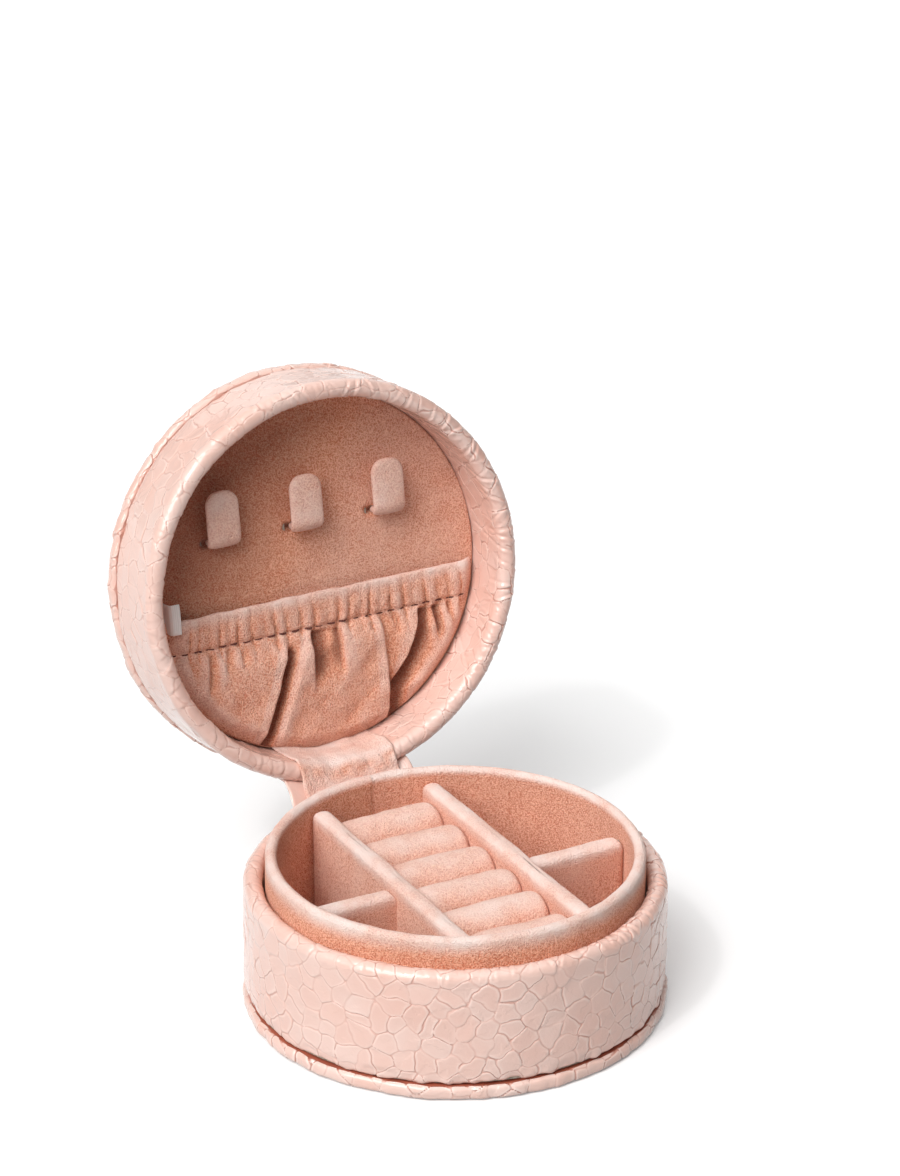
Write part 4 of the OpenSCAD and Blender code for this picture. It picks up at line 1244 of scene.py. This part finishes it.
def hinge_cloth(name, path, middle, width, radius, turn_over, gap, thick, nodes, slot, corner, seed):
    """A cloth along path, bent round the box's walls, that turns from base to lid over turn_over mm."""
    run = run_along(path)
    total = run[-1]
    into = np.clip(corner - np.minimum(run, total - run), 0, corner)
    narrow = corner - np.sqrt(np.maximum(corner ** 2 - into ** 2, 0)) if corner else 0 * run
    across = np.linspace(-1, 1, max(2, int(width / gap) + 1))
    half = width / 2 - narrow
    fray = 0.12 * waves(np.stack([0 * run, run, 0 * run], -1), seed + 1, 3)
    x = middle + across[None] * (half + fray)[:, None]
    drop = radius - np.sqrt(radius ** 2 - x ** 2)
    lidward = smooth(*turn_over, run)[:, None, None]
    away = drop[..., None] * ((1 - lidward) * BASE_WAY + lidward * LID_WAY)
    out = right_of(path)
    edge = np.minimum(half[:, None] - np.abs(x - middle), np.minimum(run, total - run)[:, None])
    rounding = (1 - np.minimum(np.maximum(edge, 0) / 0.5, 1)) ** 2
    body = thick[:, None] / 2 * np.sqrt(np.clip(1 - rounding, 0.04, 1))
    if slot == "leathercloth":
        front, back, layers = crackled(x, run[:, None], body, seed)
    else:
        front, back, layers = nap_and_painted_light(x, run[:, None], path, body, thick[:, None], seed)
    faces = []
    for push in (front, back):
        yz = path[:, None] + away + out[:, None] * push[..., None]
        faces.append(np.concatenate([x[..., None], yz], -1))
    piece = slab(name, *faces, None, layers=layers, replaces=nodes, slot=slot,
                 material=LEATHER if slot == "leathercloth" else VELVET)
    return piece


def hinge_strip():
    """The outer strip of leathercloth, glued to both walls behind."""
    r = (WALL_R + strip_high[1]) / 2
    foot, top = strip_low[2], strip_high[2]
    lid_leaf = corners("hinge_strip_lid")
    start, end = np.array([r, top]), open_yz([r, lid_leaf[0][2]])
    leave, arrive = np.array([0, 1.0]), np.array([SIN, COS])
    t = np.linspace(0, 1, 30)[:, None]
    reach = np.linalg.norm(end - start) * 0.5
    b, c = start + leave * reach, end - arrive * reach
    bend = (1 - t) ** 3 * start + 3 * (1 - t) ** 2 * t * b + 3 * (1 - t) * t * t * c + t ** 3 * end
    line = np.concatenate([[[r, foot]], bend, [open_yz([r, lid_leaf[1][2]])]])
    path = spaced(line, STRIP_GAP)
    leaf = top - foot
    thick = np.full(len(path), strip_high[1] - WALL_R)
    width = strip_high[0] - strip_low[0]
    piece = hinge_cloth("hinge_strip_leather", path, (strip_low[0] + strip_high[0]) / 2, width, r,
                        (leaf, leaf + 5), STRIP_GAP, thick,
                        ["hinge_strip_base", "hinge_strip_fold", "hinge_strip_lid"], "leathercloth",
                        corner=4.0, seed=191)
    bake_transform(piece)


def hinge_strap():
    """The inner velvet strap, from the gap round the collar over both rims to the lid's panel."""
    r, off = WALL_IN - 0.33, RIM_R + 0.32
    lid_leaf = corners("hinge_strap_lid")
    rim = (WALL_R - RIM_R, lid_low[2] + RIM_R)
    base_rim = (WALL_R - RIM_R, wall_high[2] - RIM_R)
    lid_part = open_yz(np.concatenate([arc(rim, off, 262, 180), [[r, rim[1] + 3], [r, lid_leaf[1][2]]]]))
    base_part = np.concatenate([[[r, strap_low[2]], [r, base_rim[1]]], arc(base_rim, off, 180, 66)])
    path = eased(np.concatenate([base_part, [STRAP_KNEE], lid_part]), 0.3, 14)
    thick = np.where(path[:, 0] < STRAP_IN_GAP, 0.5, 0.85)
    soften(thick, 12)
    width = strap_high[0] - strap_low[0]
    rise = strap_high[2] - strap_low[2]
    piece = hinge_cloth("hinge_strap_fabric", path, (strap_low[0] + strap_high[0]) / 2, width, r,
                        (rise + 1, rise + 10), 0.45, thick,
                        ["hinge_strap_base", "hinge_strap_span", "hinge_strap_lid"], "velvet",
                        corner=0.0, seed=195)
    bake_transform(piece)


hinge_strip()
hinge_strap()


# ---- CAD nodes that stay, with better materials ----

for node, piece in frame["nodes"].items():
    if not piece.hide_render:
        piece.data.materials.clear()
        piece.data.materials.append(FOAM if "foam" in node else CARD)


# ---- Camera, light and floor ----

EYE = (-0.39033, -0.71893, 0.46288)
EYE_TURN, EYE_RISE = -28.41, 23.63
LENS, SENSOR = 119.97, 36
WORLD_LEVEL = 0.09         # light from all round
MIRRORED_LEVEL = 0.20      # share of the white studio that gloss mirrors
FLOOR_TONE, FLOOR_SEEN, FLOOR_GLOW = 0.46, 0.88, 0.14
WHITE = (1, 1, 1, 1)

# name: turn, rise, level, and the angle that the light fills
SUNS = {
    "key": (-63, 42, 0.83, 44),
    "glint": (-64, 50, 0.11, 3.5),
    "top": (-34, 76, 0.36, 70),
    "back": (150, 35, 0.20, 60),
}


def towards(turn, rise):
    """Direction at a turn about +Z from the front and a rise, in degrees."""
    turn, rise = math.radians(turn), math.radians(rise)
    return Vector((math.sin(turn) * math.cos(rise), -math.cos(turn) * math.cos(rise), math.sin(rise)))


def soft_sun(name, turn, rise, level, wide):
    """A far, wide light."""
    data = bpy.data.lights.new(name, "SUN")
    data.energy, data.angle = level * math.pi, math.radians(wide)
    lamp = bpy.data.objects.new(name, data)
    lamp.rotation_euler = towards(turn, rise).to_track_quat("Z", "Y").to_euler()
    bpy.context.scene.collection.objects.link(lamp)


def camera():
    """The camera fitted to the photograph."""
    data = bpy.data.cameras.new("camera")
    data.lens, data.sensor_width, data.clip_start = LENS, SENSOR, 0.05
    eye = bpy.data.objects.new("camera", data)
    eye.location = EYE
    eye.rotation_euler = (-towards(EYE_TURN, EYE_RISE)).to_track_quat("-Z", "Y").to_euler()
    bpy.context.scene.collection.objects.link(eye)
    bpy.context.scene.camera = eye


def white_world():
    """A world that is white to the camera and dim as a light."""
    world = bpy.data.worlds.new("studio")
    bpy.context.scene.world = world
    world.use_nodes = True
    tree = world.node_tree
    path = add(tree, "LightPath")
    seen = greater(tree, path.outputs["Is Camera Ray"], path.outputs["Is Transmission Ray"])
    seen = greater(tree, seen, times(tree, path.outputs["Is Glossy Ray"], MIRRORED_LEVEL))
    level = ranged(tree, seen, 0, 1, WORLD_LEVEL, 1.0)
    fill(tree, tree.nodes["Background"], {"Color": WHITE, "Strength": level})


def floor():
    """A white floor that takes the box's shadow and throws little light back."""
    points = np.array([[-3, -3, 0], [3, -3, 0], [3, 3, 0], [-3, 3, 0]]) / MM
    m, tree, shader = start_material("floor", Roughness=0.9, Specular_IOR_Level=0.0)
    path = add(tree, "LightPath")
    seen = greater(tree, path.outputs["Is Camera Ray"], path.outputs["Is Glossy Ray"])
    tone = mixed(tree, seen, (*[FLOOR_TONE] * 3, 1), (*[FLOOR_SEEN] * 3, 1))
    glow = ranged(tree, seen, 0, 1, 0.0, FLOOR_GLOW)
    fill(tree, shader, {"Base Color": tone, "Emission Color": WHITE, "Emission Strength": glow})
    piece = make("floor", points, np.array([[0, 1, 2, 3]]), material=m)
    piece.location.z = -0.0002


camera()
white_world()
floor()
for name, values in SUNS.items():
    soft_sun(name, *values)
bpy.context.scene.view_settings.view_transform = "Standard"
